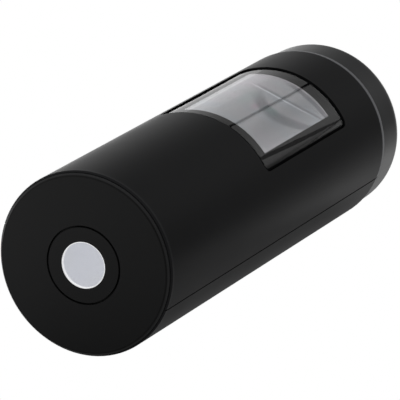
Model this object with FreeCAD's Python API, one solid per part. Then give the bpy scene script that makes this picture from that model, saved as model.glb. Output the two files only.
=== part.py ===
import FreeCAD
import Part
import math
import os
from collections import namedtuple

# Hand-held tube colorimeter. The measuring face is at the -Y end, the rear cap at the +Y end,
# and the curved display window looks up along +Z. Every piece is modelled about the tube's axis,
# with y = 0 on the measuring face, and is set down on the bench when it is written.

# Tube and parting
overall_length = 102.0
tube_r = 16.5
tube_wall = 1.8
cap_length = 9.1
front_edge_chamfer = 0.25
rear_edge_length = 1.4
rear_edge_drop = 0.3
rear_edge_bend_share = 0.33
parting_drop = 0.63
lip_height = 0.8
lip_width = 0.8
parting_groove_width = 0.28
parting_groove_depth = 0.25
bead_height = 1.2
bead_width = 1.4
bead_setback = 2.7
fit_gap = 0.1
slide_gap = 0.08
cut_over = 1.0

# Front plate and aperture ring
plate_inset = 0.4
plate_face_chamfer = 0.37
plate_edge = 0.65
front_seam_gap = 0.15
front_seam_depth = 0.65
plate_thickness = 2.4
plate_spigot_wall = 0.8
ring_outer_share = 0.597
ring_groove_width = 0.35
ring_groove_depth = 0.8
ring_flange_gap = 1.2
ring_fit_gap = 0.05

# Integrating sphere
aperture_r = 4.0
nose_edge = 0.165
nose_recess = 0.05
nose_land = 0.45
nose_wall = 0.7
sphere_side_wall = 4.0
sphere_flange = 2.4
sphere_wall = 1.4
sphere_lip_height = 0.6
sphere_lip_width = 0.95
sphere_boss_wall = 1.9
sphere_boss_edge = 0.5

# Lamps and detector
led_angles = (0.0, 180.0, 295.0)
led_circle_step = 1.315
led_r = 1.5
led_length = 2.5
led_board_edge = 0.2
optics_board_thickness = 1.0
detector_tilt = 8.0
light_port_r = 1.2
barrel_r = 2.2
barrel_bore_r = 1.4
barrel_seat_depth = 1.2
barrel_length = 9.0
lens_edge = 0.5
lens_bulge = 0.35
lens_depth_in_barrel = 0.8
sensor_board_side = 8.0
sensor_chip_side = 1.9
sensor_chip_height = 0.8

# Window stack
window_start = 42.95
window_rear_gap = 14.6
window_half_angle = 44.0
window_corner_r = 1.4
lens_side_gap = 0.63
lens_end_gap = 0.65
lens_corner_r = 0.8
lens_recess = 0.28
lens_thickness = 0.8
lens_edge_round = 0.15
mask_thickness = 0.25
mask_side_margin = 2.5
mask_front_margin = 3.1
mask_rear_margin = 2.9
ledge_side_width = 1.48
ledge_end_width = 0.75
ledge_corner_r = 1.0
frame_thickness = 1.2
frame_side_margin = 0.9
frame_end_margin = 3.3
panel_gap = 0.05
panel_thickness = 0.6
panel_side_gap = 0.4
panel_end_gap = 0.3
holder_thickness = 1.3
holder_side_overlap = 2.0
holder_end_overlap = 1.0
holder_tab_half_width = 5.5
holder_tab_length = 3.4
holder_slot_half_width = 3.0
holder_slot_length = 1.2

# Main board
board_thickness = 1.2
board_side_gap = 1.1
board_front_gap = 3.8
board_rear_gap = 0.7
board_corner_r = 1.0
tallest_board_part = 2.0

# Shell screws and their bosses
screw_edge = 3.2
screw_front_edge = 3.5
screw_rear_edge = 2.0
front_boss_r = 2.3
back_boss_r = 2.6
screw_seat_depth = 7.8
counterbore_r = 1.95
screw_hole_r = 1.15
screw_hole_depth = 7.0

# Battery and its cradle
battery_side_gap = 0.35
battery_floor_gap = 0.8
battery_front_gap = 0.9
battery_rear_gap = 1.4
battery_edge_r = 0.8
battery_pad_height = 1.2
battery_pad_width = 8.0
battery_pad_end_gap = 6.0
terminal_r = 2.75
terminal_height = 1.0
tab_thickness = 0.2
tab_width = 4.0
cradle_rib_thickness = 1.4
cradle_parting_gap = 0.3
stop_height = 9.7
cradle_rib_shares = (0.16, 0.5, 0.84)

# Rear cap
cap_taper = 0.15
cap_edge_length = 3.3
cap_edge_height = 3.0
cap_edge_bulge_share = 0.7
cap_spigot_wall = 1.8
cap_spigot_end_wall = 0.8
cap_end_wall = 2.2
cap_dish_depth = 0.5
cap_dish_slope = 1.2
cap_boss_r = 1.8
cap_boss_edge = 1.7
cap_boss_angles = (90.0, -10.0, 190.0)
cap_boss_hole_r = 0.62
cap_boss_hole_depth = 5.0

# Rear board, switch and spring
rear_board_setback = 3.5
rear_board_thickness = 1.0
rear_board_side_gap = 0.5
switch_side = 6.2
switch_height = 3.5
switch_leg = 0.6
plunger_r = 1.75
plunger_height = 0.9
plunger_root = 1.3
spring_gap = 0.17
spring_wire_r = 0.225
spring_turns = 4.5

# Measuring button
button_travel = 0.5
button_below_rim = 0.2
button_dome = 0.35
button_wall = 1.1
button_roof = 1.6
button_collar = 0.85
button_collar_height = 1.0
button_stop_gap = 0.05
sleeve_wall = 1.2
sleeve_length = 3.6
stem_step = 0.05

# Charging socket
socket_width = 8.94
socket_height = 3.26
socket_shell = 0.28
socket_base = 3.0
socket_recess = 0.8
socket_tongue_width = 6.7
socket_tongue_thickness = 0.7
socket_tongue_recess = 0.8
socket_slot_gap = 0.2
socket_rim_gap = 0.29
socket_wall_gap = 1.07

# Board to board header and flat cables
header_length = 10.16
header_width = 2.5
header_height = 2.5
header_pins = 4
pin_pitch = 2.54
pin_r = 0.3
header_setback = 3.0
cable_thickness = 0.15
cable_width = 5.0
cable_bend_r = 1.5
cable_grip = 1.5
connector_width = 7.0
connector_length = 3.0
connector_height = 1.3
display_cable_setback = 6.0
lamp_cable_edge = 1.4
under_connector_length = 1.5

# Screws
shell_screw_head_r = 1.8
shell_screw_head_height = 1.4
shell_screw_r = 1.0
shell_screw_bite = 5.8
optics_screw_head_r = 1.3
optics_screw_head_height = 1.0
optics_screw_r = 0.8
optics_screw_bite = 0.8
optics_screw_edge = 1.5
optics_screw_angles = (30.0, 150.0, 270.0)
holder_screw_head_r = 1.0
holder_screw_head_height = 0.6
holder_screw_r = 0.6
holder_screw_length = 2.2
holder_screw_x = 3.5
holder_screw_seat_drop = 0.15
rear_board_screw_head_r = 1.2
rear_board_screw_head_height = 0.9
rear_board_screw_r = 0.6
rear_board_screw_length = 4.8
thread_gap = 0.02

# Sizes of the tube, plate and cap that follow from those above
tube_inner_r = tube_r - tube_wall
tube_start = plate_edge + front_seam_gap
tube_end = overall_length - cap_length
bead_r = tube_inner_r - bead_height
front_bead_y = tube_start + bead_setback
rear_bead_y = tube_end - bead_setback - bead_width - bead_height
spigot_r = tube_inner_r - fit_gap
bead_seat_r = bead_r - fit_gap
blend_r = tube_inner_r + tube_wall / 2
cap_inner_r = spigot_r - cap_spigot_wall
cap_front_y = rear_bead_y - fit_gap - cap_spigot_end_wall
cap_roof_y = overall_length - cap_end_wall

# Optics
sphere_body_r = bead_seat_r - plate_spigot_wall - fit_gap
sphere_r = sphere_body_r - sphere_side_wall
sphere_y = nose_recess + nose_land + math.sqrt(sphere_r ** 2 - aperture_r ** 2)
sphere_flange_y = sphere_y + sphere_flange
sphere_back_y = sphere_y + sphere_r + sphere_boss_wall
led_circle_r = sphere_back_y * math.tan(math.radians(detector_tilt)) + led_circle_step
sphere_boss_r = led_circle_r + led_r + sphere_boss_edge
nose_tip_r = aperture_r + nose_edge
nose_root_r = math.sqrt(sphere_r ** 2 - (sphere_y - plate_thickness) ** 2) + nose_wall
optics_screw_circle_r = sphere_body_r - optics_screw_edge
ring_flange_r = optics_screw_circle_r - optics_screw_r - ring_flange_gap
plate_hole_r = nose_tip_r + ring_outer_share * (ring_flange_r - nose_tip_r)
led_board_r = sphere_boss_r - led_board_edge
barrel_start = sphere_back_y - barrel_seat_depth
barrel_end = barrel_start + barrel_length

# Window stack
window_end = tube_end - window_rear_gap
window_half_width = tube_r * math.sin(math.radians(window_half_angle))
lens_top_r = tube_r - lens_recess
lens_under_r = lens_top_r - lens_thickness
ledge_r = lens_under_r - mask_thickness
frame_r = ledge_r - frame_thickness
lens_start = window_start + lens_end_gap
lens_end = window_end - lens_end_gap
lens_half_width = window_half_width - lens_side_gap
mask_open_half_width = lens_half_width - mask_side_margin
ledge_half_width = lens_half_width - ledge_side_width
ledge_start = lens_start + ledge_end_width
ledge_end = lens_end - ledge_end_width
panel_top_r = ledge_r - panel_gap
panel_under_r = panel_top_r - panel_thickness
panel_half_width = ledge_half_width - panel_side_gap
holder_under_r = panel_under_r - holder_thickness
holder_screw_seat_z = math.sqrt(holder_under_r ** 2 - holder_screw_x ** 2) - holder_screw_seat_drop
display_cable_y = window_end - display_cable_setback

# Battery, main board and shell screws
board_start = barrel_end + board_front_gap
board_end = cap_front_y - board_rear_gap
board_half_width = tube_inner_r - board_side_gap
screw_x = board_half_width - screw_edge
screw_front_y = board_start + screw_front_edge
screw_rear_y = board_end - screw_rear_edge
battery_r = tube_inner_r / 2 - battery_side_gap
battery_drop = tube_inner_r - battery_r - battery_floor_gap
battery_start = screw_front_y + back_boss_r + battery_front_gap
battery_end = screw_rear_y - back_boss_r - battery_rear_gap
battery_length = battery_end - battery_start
front_tab_y = battery_start - terminal_height - tab_thickness
board_bottom = battery_r - battery_drop + battery_pad_height
board_top = board_bottom + board_thickness
screw_seat_z = board_bottom - screw_seat_depth
header_y = board_end - header_setback

# Rear board, button and socket
rear_board_y = tube_end - rear_board_setback
rear_board_back_y = rear_board_y + rear_board_thickness
rear_board_r = cap_inner_r - rear_board_side_gap
cap_boss_circle_r = rear_board_r - cap_boss_edge
switch_top_y = rear_board_back_y + switch_leg + switch_height
plunger_top_y = switch_top_y + plunger_height
stem_r = plunger_r - stem_step
spring_r = plunger_r + spring_gap + spring_wire_r
slot_half_height = socket_height / 2 + socket_slot_gap
socket_drop = cap_inner_r - socket_wall_gap - slot_half_height
dish_r = socket_drop - slot_half_height - socket_rim_gap
sleeve_r = dish_r - sleeve_wall
button_r = sleeve_r - slide_gap
button_inner_r = button_r - button_wall
sleeve_end_y = cap_roof_y - sleeve_length
button_roof_y = overall_length - cap_dish_depth - button_below_rim - button_roof
button_collar_y = sleeve_end_y - button_stop_gap
socket_mouth_y = overall_length - socket_recess

# Screws
ScrewSize = namedtuple("ScrewSize", "head_r head_height shank_r length")
shell_screw = ScrewSize(
    shell_screw_head_r, shell_screw_head_height, shell_screw_r,
    screw_seat_depth + board_thickness + shell_screw_bite)
optics_screw = ScrewSize(
    optics_screw_head_r, optics_screw_head_height, optics_screw_r,
    sphere_flange_y - plate_thickness + optics_screw_bite)
holder_screw = ScrewSize(
    holder_screw_head_r, holder_screw_head_height, holder_screw_r, holder_screw_length)
rear_board_screw = ScrewSize(
    rear_board_screw_head_r, rear_board_screw_head_height, rear_board_screw_r, rear_board_screw_length)

Bend = namedtuple("Bend", "middle end")
AXIS = FreeCAD.Vector(0, 1, 0)
UP = FreeCAD.Vector(0, 0, 1)


def point(x=0.0, y=0.0, z=0.0):
    """A point about the tube's axis."""
    return FreeCAD.Vector(x, y, z)


def joined(shapes):
    """One solid from shapes that meet or cross."""
    shapes = list(shapes)
    return shapes[0].fuse(shapes[1:]).removeSplitter()


def turned(outline):
    """A closed outline of (radius, y) points and bends, turned about the tube's axis."""
    edges = []
    here = outline[0]
    for step in outline[1:] + outline[:1]:
        there = step.end if isinstance(step, Bend) else step
        if isinstance(step, Bend):
            edges.append(Part.Arc(point(*here), point(*step.middle), point(*there)).toShape())
        else:
            edges.append(Part.makeLine(point(*here), point(*there)))
        here = there
    return Part.Face(Part.Wire(edges)).revolve(point(), AXIS, 360)


def dome(edge_r, edge_y, top_y, to_axis=True):
    """A bend of a round cap between its edge and its top on the tube's axis."""
    height = top_y - edge_y
    ball_r = (edge_r ** 2 + height ** 2) / (2 * height)
    middle_y = top_y - ball_r + math.copysign(math.sqrt(ball_r ** 2 - edge_r ** 2 / 4), height)
    return Bend((edge_r / 2, middle_y), (0, top_y) if to_axis else (edge_r, edge_y))


def round_bar(radius, start, end, x=0.0, z=0.0):
    """A round bar along the tube."""
    return Part.makeCylinder(radius, end - start, point(x, start, z), AXIS)


def band(inner_r, outer_r, start, end):
    """A ring round the tube's axis."""
    over = cut_over
    return round_bar(outer_r, start, end).cut(round_bar(inner_r, start - over, end + over))


def post(x, y, radius, low, high):
    """An upright round post."""
    return Part.makeCylinder(radius, high - low, point(x, y, low), UP)


def block(x_range, y_range, z_range):
    """A box between two values on each axis."""
    (x0, x1), (y0, y1), (z0, z1) = map(sorted, (x_range, y_range, z_range))
    return Part.makeBox(x1 - x0, y1 - y0, z1 - z0, point(x0, y0, z0))


def slab(half_width, start, end, low, high, corner_r=0.0):
    """An upright prism whose plan is a rectangle with round corners."""
    body = block((-half_width, half_width), (start, end), (low, high))
    if corner_r == 0:
        return body
    upright = [edge for edge in body.Edges if abs(edge.tangentAt(edge.FirstParameter).z) == 1]
    return body.makeFillet(corner_r, upright)


def capsule(width, height, drop, start, end):
    """A bar along the tube with a round-ended section, set below the axis by drop."""
    end_r = height / 2
    straight = width / 2 - end_r
    middle = block((-straight, straight), (start, end), (-drop - end_r, -drop + end_r))
    ends = [round_bar(end_r, start, end, side * straight, -drop) for side in (-1, 1)]
    return joined([middle] + ends)


def on_circle(radius, angle):
    """The (x, z) place on a circle about the axis, with the angle from +X towards +Z."""
    return radius * math.cos(math.radians(angle)), radius * math.sin(math.radians(angle))


def screw(seat, direction, size):
    """A screw whose head sits on its seat and whose shank runs along the direction."""
    top = seat - direction * size.head_height
    head = Part.makeCylinder(size.head_r, size.head_height, top, direction)
    shank = Part.makeCylinder(size.shank_r, size.length, seat, direction)
    return joined([head, shank])


def view_point(distance):
    """A point on the detector's line of sight, at a distance from the measuring face."""
    tilt = math.radians(detector_tilt)
    return point(0, distance * math.cos(tilt), distance * math.sin(tilt))


def sight_bar(radius, start, end):
    """A round bar on the detector's line of sight."""
    line = view_point(end) - view_point(start)
    return Part.makeCylinder(radius, end - start, view_point(start), line.normalize())


def ribbon(points, bend_r, thickness, width):
    """A flat cable that follows (y, z) points with rounded corners and is centred on x = 0."""
    path = [point(0, y, z) for y, z in points]
    runs = [(b - a).normalize() for a, b in zip(path, path[1:])]
    across = point(1)
    sides = []
    for side in (thickness / 2, -thickness / 2):
        edges = []
        here = path[0] + across.cross(runs[0]) * side
        for corner, before, after in zip(path[1:], runs, runs[1:]):
            turn = math.copysign(1, before.cross(after).x)
            setback = bend_r * math.tan(before.getAngle(after) / 2)
            centre = corner - before * setback + across.cross(before) * bend_r * turn
            first = corner - before * setback + across.cross(before) * side
            last = corner + after * setback + across.cross(after) * side
            middle = centre + (corner - centre).normalize() * (bend_r - turn * side)
            edges += [Part.makeLine(here, first), Part.Arc(first, middle, last).toShape()]
            here = last
        end = path[-1] + across.cross(runs[-1]) * side
        edges.append(Part.makeLine(here, end))
        sides.append((edges, path[0] + across.cross(runs[0]) * side, end))
    (left, left_start, left_end), (right, right_start, right_end) = sides
    caps = [Part.makeLine(left_start, right_start), Part.makeLine(left_end, right_end)]
    face = Part.Face(Part.Wire(Part.__sortEdges__(left + right + caps)))
    return face.extrude(across * width).translated(across * (-width / 2))


def half_tube(side):
    """Half of the tube's wall and end beads, above the parting plane for 1 and below it for -1."""
    bead_front = front_bead_y + bead_width
    bead_rear = rear_bead_y + bead_width
    rear_bend_r = tube_r - rear_edge_drop * rear_edge_bend_share
    rear_bend_y = tube_end - rear_edge_length / 2
    wall = turned([
        (tube_inner_r, tube_start),
        (tube_r - front_edge_chamfer, tube_start),
        (tube_r, tube_start + front_edge_chamfer),
        (tube_r, tube_end - rear_edge_length),
        Bend((rear_bend_r, rear_bend_y), (tube_r - rear_edge_drop, tube_end)),
        (tube_inner_r, tube_end),
        (tube_inner_r, bead_rear),
        (bead_r, bead_rear),
        (bead_r, rear_bead_y),
        (tube_inner_r, rear_bead_y),
        (tube_inner_r, bead_front),
        (bead_r, bead_front),
        (bead_r, front_bead_y),
        (tube_inner_r, front_bead_y),
    ])
    reach = tube_r + cut_over
    return wall.common(block((-reach, reach), (0, overall_length), (-parting_drop, side * reach)))


def parting_grooves():
    """The fine line that shows on both sides of the tube where its halves meet."""
    half = parting_groove_width / 2
    heights = (-parting_drop - half, half - parting_drop)
    inner = tube_r - parting_groove_depth
    outer = tube_r + cut_over
    ends = (0, overall_length)
    return [block((side * inner, side * outer), ends, heights) for side in (-1, 1)]


def parting_lip(clearance):
    """The lip along the upper half's edges, or the room for it in the lower half."""
    start = front_bead_y - clearance
    end = rear_bead_y + bead_width + clearance
    ring = band(tube_inner_r - clearance, tube_inner_r + lip_width + clearance, start, end)
    reach = tube_r + cut_over
    heights = (-parting_drop - lip_height - clearance, -parting_drop)
    return ring.common(block((-reach, reach), (start, end), heights))


def screw_places():
    """The (x, y) places of the four screws that hold the two halves together."""
    return [(side * screw_x, y) for side in (-1, 1) for y in (screw_front_y, screw_rear_y)]


def front_shell():
    """The upper half of the tube, with the window, its ledge and the screw bosses."""
    frame_end = window_end + frame_end_margin
    frame_start = window_start - frame_end_margin
    frame = band(frame_r, blend_r, frame_start, frame_end)
    plan_half_width = window_half_width + frame_side_margin
    frame = frame.common(slab(plan_half_width, frame_start, frame_end, 0, tube_r))
    inside = round_bar(blend_r, 0, overall_length)
    bosses = [post(x, y, front_boss_r, board_top, tube_r).common(inside) for x, y in screw_places()]
    shell = joined([half_tube(1), parting_lip(0), frame] + bosses)
    outside = tube_r + cut_over
    opening = slab(window_half_width, window_start, window_end, 0, outside, window_corner_r)
    opening = opening.cut(round_bar(ledge_r, 0, overall_length))
    through = slab(ledge_half_width, ledge_start, ledge_end, 0, tube_r, ledge_corner_r)
    pilot_r = shell_screw.shank_r + thread_gap
    pilot_top = board_top + screw_hole_depth
    pilots = [post(x, y, pilot_r, board_top - cut_over, pilot_top) for x, y in screw_places()]
    tab_pilot_r = holder_screw.shank_r + thread_gap
    tab_pilot_top = holder_screw_seat_z + holder_screw.length + thread_gap
    tab_pilots = [post(x, y, tab_pilot_r, board_top, tab_pilot_top) for x, y in holder_screw_places()]
    return shell.cut([opening, through] + pilots + tab_pilots + parting_grooves()).removeSplitter()


def back_shell():
    """The lower half of the tube, with the battery cradle and the screw wells."""
    inside = round_bar(blend_r, 0, overall_length)
    wells = [post(x, y, back_boss_r, -tube_r, board_bottom).common(inside) for x, y in screw_places()]
    ribs = []
    for share in cradle_rib_shares:
        start = battery_start + share * battery_length - cradle_rib_thickness / 2
        ends = (start, start + cradle_rib_thickness)
        ribs.append(block((-tube_r, tube_r), ends, (-tube_r, -parting_drop - cradle_parting_gap)))
    for start in (front_tab_y - cradle_rib_thickness, battery_end + tab_thickness):
        ends = (start, start + cradle_rib_thickness)
        ribs.append(block((-battery_r, battery_r), ends, (-tube_r, stop_height - tube_inner_r)))
    cell = round_bar(battery_r, battery_start, battery_end, z=-battery_drop)
    way_in = block((-battery_r, battery_r), (battery_start, battery_end), (-battery_drop, tube_r))
    ribs = [rib.common(inside).cut([cell, way_in]) for rib in ribs]
    shell = joined([half_tube(-1)] + wells + ribs)
    heads = [post(x, y, counterbore_r, -tube_r - cut_over, screw_seat_z) for x, y in screw_places()]
    holes = [post(x, y, screw_hole_r, screw_seat_z - cut_over, board_top) for x, y in screw_places()]
    return shell.cut([parting_lip(fit_gap)] + heads + holes + parting_grooves()).removeSplitter()


def shell_screws():
    """The four long screws that clamp both halves and the main board."""
    seats = [point(x, y, screw_seat_z) for x, y in screw_places()]
    return Part.makeCompound([screw(seat, UP, shell_screw) for seat in seats])


def optics_screw_places():
    """The (x, z) places of the screws that hold the sphere to the front plate."""
    return [on_circle(optics_screw_circle_r, angle) for angle in optics_screw_angles]


def front_plate():
    """The round plate round the aperture, held by the beads of both halves."""
    flange_r = tube_r - plate_inset
    seat = front_bead_y - fit_gap
    seat_end = front_bead_y + bead_width + fit_gap
    back = seat_end + plate_spigot_wall
    ring_seat_r = ring_flange_r + ring_fit_gap
    sphere_seat_r = sphere_body_r + fit_gap
    plate = turned([
        (plate_hole_r, 0),
        (flange_r - plate_face_chamfer, 0),
        (flange_r, plate_face_chamfer),
        (flange_r, plate_edge),
        (flange_r - front_seam_depth, plate_edge),
        (flange_r - front_seam_depth, tube_start),
        (spigot_r, tube_start),
        (spigot_r, seat),
        (bead_seat_r, seat),
        (bead_seat_r, seat_end),
        (spigot_r, seat_end),
        (spigot_r, back),
        (sphere_seat_r, back),
        (sphere_seat_r, plate_thickness),
        (ring_seat_r, plate_thickness),
        (ring_seat_r, ring_groove_depth),
        (plate_hole_r, ring_groove_depth),
    ])
    tip = plate_thickness - optics_screw_bite - thread_gap
    hole_r = optics_screw.shank_r + thread_gap
    holes = [round_bar(hole_r, tip, plate_thickness, x, z) for x, z in optics_screw_places()]
    return plate.cut(holes)


def nose_r(y):
    """The outer radius of the sphere's nose at a distance from the measuring face."""
    slope = (nose_root_r - nose_tip_r) / (plate_thickness - nose_recess)
    return nose_tip_r + slope * (y - nose_recess)


def aperture_ring():
    """The flat ring round the aperture, trapped between the plate and the sphere."""
    return turned([
        (nose_r(0) + ring_fit_gap, 0),
        (plate_hole_r - ring_groove_width, 0),
        (plate_hole_r - ring_groove_width, ring_groove_depth),
        (ring_flange_r, ring_groove_depth),
        (ring_flange_r, plate_thickness),
        (nose_root_r + ring_fit_gap, plate_thickness),
    ])


def hollow_ball(radius):
    """A ball at the sphere's centre, with its poles on the tube's axis."""
    return Part.makeSphere(radius, point(y=sphere_y), AXIS)


def sphere_front():
    """The front half of the integrating sphere, with the thin nose round the aperture."""
    lip_y = sphere_y - sphere_lip_height - ring_fit_gap
    lip_r = sphere_r + sphere_lip_width + ring_fit_gap
    body = turned([
        (0, nose_recess),
        (nose_tip_r, nose_recess),
        (nose_root_r, plate_thickness),
        (sphere_body_r, plate_thickness),
        (sphere_body_r, sphere_y),
        (lip_r, sphere_y),
        (lip_r, lip_y),
        (0, lip_y),
    ])
    port = round_bar(aperture_r, 0, sphere_y)
    hole_r = optics_screw.shank_r + ring_fit_gap
    holes = [round_bar(hole_r, 0, sphere_y + cut_over, x, z) for x, z in optics_screw_places()]
    return body.cut([hollow_ball(sphere_r), port] + holes)


def led_places():
    """The (x, z) places of the lamps, which stay clear of the detector and of the view inwards."""
    return [on_circle(led_circle_r, angle) for angle in led_angles]


def sphere_rear():
    """The rear half of the sphere, with its flange, lamp ports and the seat of the detector barrel."""
    lip_y = sphere_y - sphere_lip_height
    lip_r = sphere_r + sphere_lip_width
    flange = turned([
        (0, lip_y),
        (lip_r, lip_y),
        (lip_r, sphere_y),
        (sphere_body_r, sphere_y),
        (sphere_body_r, sphere_flange_y),
        (0, sphere_flange_y),
    ])
    reach = sphere_body_r + cut_over
    ball = hollow_ball(sphere_r + sphere_wall)
    ball = ball.common(block((-reach, reach), (sphere_y, sphere_back_y), (-reach, reach)))
    boss = round_bar(sphere_boss_r, sphere_y, sphere_back_y)
    outside = sphere_back_y + cut_over
    lamp_ports = [round_bar(led_r + fit_gap, sphere_y, outside, x, z) for x, z in led_places()]
    seat = sight_bar(barrel_r + ring_fit_gap, barrel_start, barrel_end)
    port = sight_bar(light_port_r, sphere_y, barrel_end)
    hole_r = optics_screw.shank_r + ring_fit_gap
    holes = [round_bar(hole_r, 0, sphere_flange_y + cut_over, x, z) for x, z in optics_screw_places()]
    body = joined([flange, ball, boss])
    return body.cut([hollow_ball(sphere_r), seat, port] + lamp_ports + holes)


def optics_screws():
    """The three screws that clamp the sphere to the front plate."""
    places = [point(x, sphere_flange_y, z) for x, z in optics_screw_places()]
    return Part.makeCompound([screw(place, -AXIS, optics_screw) for place in places])


def led_board():
    """The round lamp board behind the sphere, with a hole for the detector barrel."""
    back = sphere_back_y + optics_board_thickness
    disc = round_bar(led_board_r, sphere_back_y, back)
    return disc.cut(sight_bar(barrel_r + fit_gap, barrel_start, barrel_end))


def leds():
    """The lamps in their ports, each a round body with a domed tip."""
    tip = sphere_back_y - led_length
    shoulder = tip + led_r
    lamp = turned([(0, tip), dome(led_r, shoulder, tip, False), (led_r, sphere_back_y), (0, sphere_back_y)])
    lamps = [lamp.translated(point(x, 0, z)) for x, z in led_places()]
    return Part.makeCompound(lamps)


def detector_barrel():
    """The tube that looks through the sphere at the sample, a few degrees off its axis."""
    tube = sight_bar(barrel_r, barrel_start, barrel_end)
    return tube.cut(sight_bar(barrel_bore_r, barrel_start - cut_over, barrel_end + cut_over))


def detector_lens():
    """The small lens in the barrel, bulging on both sides."""
    start = barrel_start + lens_depth_in_barrel
    end = start + lens_edge
    rim = barrel_bore_r - thread_gap
    middle = (start + end) / 2
    half = lens_edge / 2
    lens = turned([
        (0, -half - lens_bulge),
        dome(rim, -half, -half - lens_bulge, False),
        (rim, half),
        dome(rim, half, half + lens_bulge),
    ])
    lens.rotate(point(), point(1), detector_tilt)
    lens.translate(view_point(middle))
    return lens


def tilted_block(side, start, end):
    """A square block across the detector's line of sight."""
    half = side / 2
    body = block((-half, half), (start, end), (-half, half))
    body.rotate(point(), point(1), detector_tilt)
    return body


def sensor_board():
    """The small board that closes the rear of the detector barrel."""
    return tilted_block(sensor_board_side, barrel_end, barrel_end + optics_board_thickness)


def color_sensor():
    """The colour sensor chip, which looks forward down the barrel."""
    return tilted_block(sensor_chip_side, barrel_end - sensor_chip_height, barrel_end)


def display_lens():
    """The curved clear cover that sits in the window."""
    ring = band(lens_under_r, lens_top_r, lens_start, lens_end)
    lens = ring.common(slab(lens_half_width, lens_start, lens_end, 0, tube_r, lens_corner_r))
    top = [edge for edge in lens.Edges if lowest_r(edge) > lens_top_r - lens_edge_round]
    return lens.makeFillet(lens_edge_round, top)


def lowest_r(edge):
    """The least distance of an edge's ends and middle from the tube's axis."""
    first, last = edge.ParameterRange
    places = [edge.valueAt(place) for place in (first, (first + last) / 2, last)]
    return min(math.hypot(place.x, place.z) for place in places)


def lens_mask():
    """The black frame that bonds the cover to its ledge and borders the display."""
    ring = band(ledge_r, lens_under_r, lens_start, lens_end)
    frame = ring.common(slab(lens_half_width, lens_start, lens_end, 0, tube_r, lens_corner_r))
    start = lens_start + mask_front_margin
    end = lens_end - mask_rear_margin
    opening = slab(mask_open_half_width, start, end, 0, tube_r)
    return frame.cut(opening)


def display_panel():
    """The thin curved display under the cover."""
    start = ledge_start + panel_end_gap
    end = ledge_end - panel_end_gap
    ring = band(panel_under_r, panel_top_r, start, end)
    return ring.common(slab(panel_half_width, start, end, 0, tube_r))


def holder_screw_places():
    """The (x, y) places of the screws through the display holder's end tabs."""
    reach = (holder_end_overlap + holder_tab_length) / 2
    ends = (ledge_start - reach, ledge_end + reach)
    return [(side * holder_screw_x, y) for side in (-1, 1) for y in ends]


def display_holder():
    """The saddle that presses the display up against its frame."""
    pad = band(holder_under_r, panel_under_r, ledge_start + panel_end_gap, ledge_end - panel_end_gap)
    pad = pad.common(slab(panel_half_width, ledge_start, ledge_end, 0, tube_r))
    flange_start = ledge_start - holder_end_overlap
    flange_end = ledge_end + holder_end_overlap
    tab_start = ledge_start - holder_end_overlap - holder_tab_length
    tab_end = ledge_end + holder_end_overlap + holder_tab_length
    flange_half_width = ledge_half_width + holder_side_overlap
    wide = slab(flange_half_width, flange_start, flange_end, 0, tube_r, ledge_corner_r)
    tabs = slab(holder_tab_half_width, tab_start, tab_end, 0, tube_r, ledge_corner_r)
    skin = band(holder_under_r, frame_r, tab_start, tab_end)
    saddle = joined([pad, skin.common(wide), skin.common(tabs)])
    slot_start = display_cable_y - holder_slot_length / 2
    slot = slab(holder_slot_half_width, slot_start, slot_start + holder_slot_length, 0, tube_r)
    seat_r = holder_screw.head_r + fit_gap
    seats = [post(x, y, seat_r, 0, holder_screw_seat_z) for x, y in holder_screw_places()]
    hole_r = holder_screw.shank_r + thread_gap
    holes = [post(x, y, hole_r, 0, tube_r) for x, y in holder_screw_places()]
    return saddle.cut([slot] + seats + holes)


def holder_screws():
    """The four small screws of the display holder."""
    places = [point(x, y, holder_screw_seat_z) for x, y in holder_screw_places()]
    return Part.makeCompound([screw(place, UP, holder_screw) for place in places])


def display_cable():
    """The flat cable from the display down to the main board."""
    level = board_top + connector_height / 2
    start = display_cable_y - cable_bend_r - cable_grip
    cable = ribbon(
        [(start, level), (display_cable_y, level), (display_cable_y, tube_r)],
        cable_bend_r, cable_thickness, cable_width)
    return cable.common(round_bar(panel_under_r, 0, overall_length))


def optics_cables():
    """The two flat cables from the lamp board and the sensor board to the main board."""
    under = board_bottom - connector_height / 2
    lamp_back = sphere_back_y + optics_board_thickness
    bend_y = board_start - cable_bend_r
    low = lamp_cable_edge - led_board_r
    end = board_start + cable_bend_r / 2
    lamp = ribbon(
        [(lamp_back, low), (bend_y, low), (bend_y, under), (end, under)],
        cable_bend_r, cable_thickness, cable_width)
    level = board_top + connector_height / 2
    end = board_start + connector_length - cable_grip
    straight = block((-cable_width / 2, cable_width / 2), (barrel_end, end),
                     (level - cable_thickness / 2, level + cable_thickness / 2))
    reach = barrel_end + optics_board_thickness
    sensor = straight.cut(tilted_block(2 * sensor_board_side, 0, reach))
    return Part.makeCompound([lamp, sensor])


def main_board():
    """The long board down the middle of the tube."""
    board = slab(board_half_width, board_start, board_end, board_bottom, board_top, board_corner_r)
    through = (board_bottom - cut_over, board_top + cut_over)
    return board.cut([post(x, y, screw_hole_r, *through) for x, y in screw_places()])


# Parts on the main board: centre across, centre along, width, length and height, each as a share
# of the board's half width, its length or the tallest part.
board_part_shares = (
    (0.00, 0.30, 0.50, 0.125, 0.45),
    (0.46, 0.44, 0.30, 0.075, 0.40),
    (-0.50, 0.40, 0.32, 0.080, 1.00),
    (-0.46, 0.56, 0.22, 0.055, 0.45),
    (0.46, 0.57, 0.24, 0.045, 0.35),
    (0.50, 0.68, 0.16, 0.030, 0.40),
    (-0.34, 0.24, 0.14, 0.022, 0.40),
    (0.34, 0.24, 0.14, 0.022, 0.40),
    (0.58, 0.26, 0.26, 0.065, 0.50),
    (-0.55, 0.84, 0.18, 0.040, 0.90),
)


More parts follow.
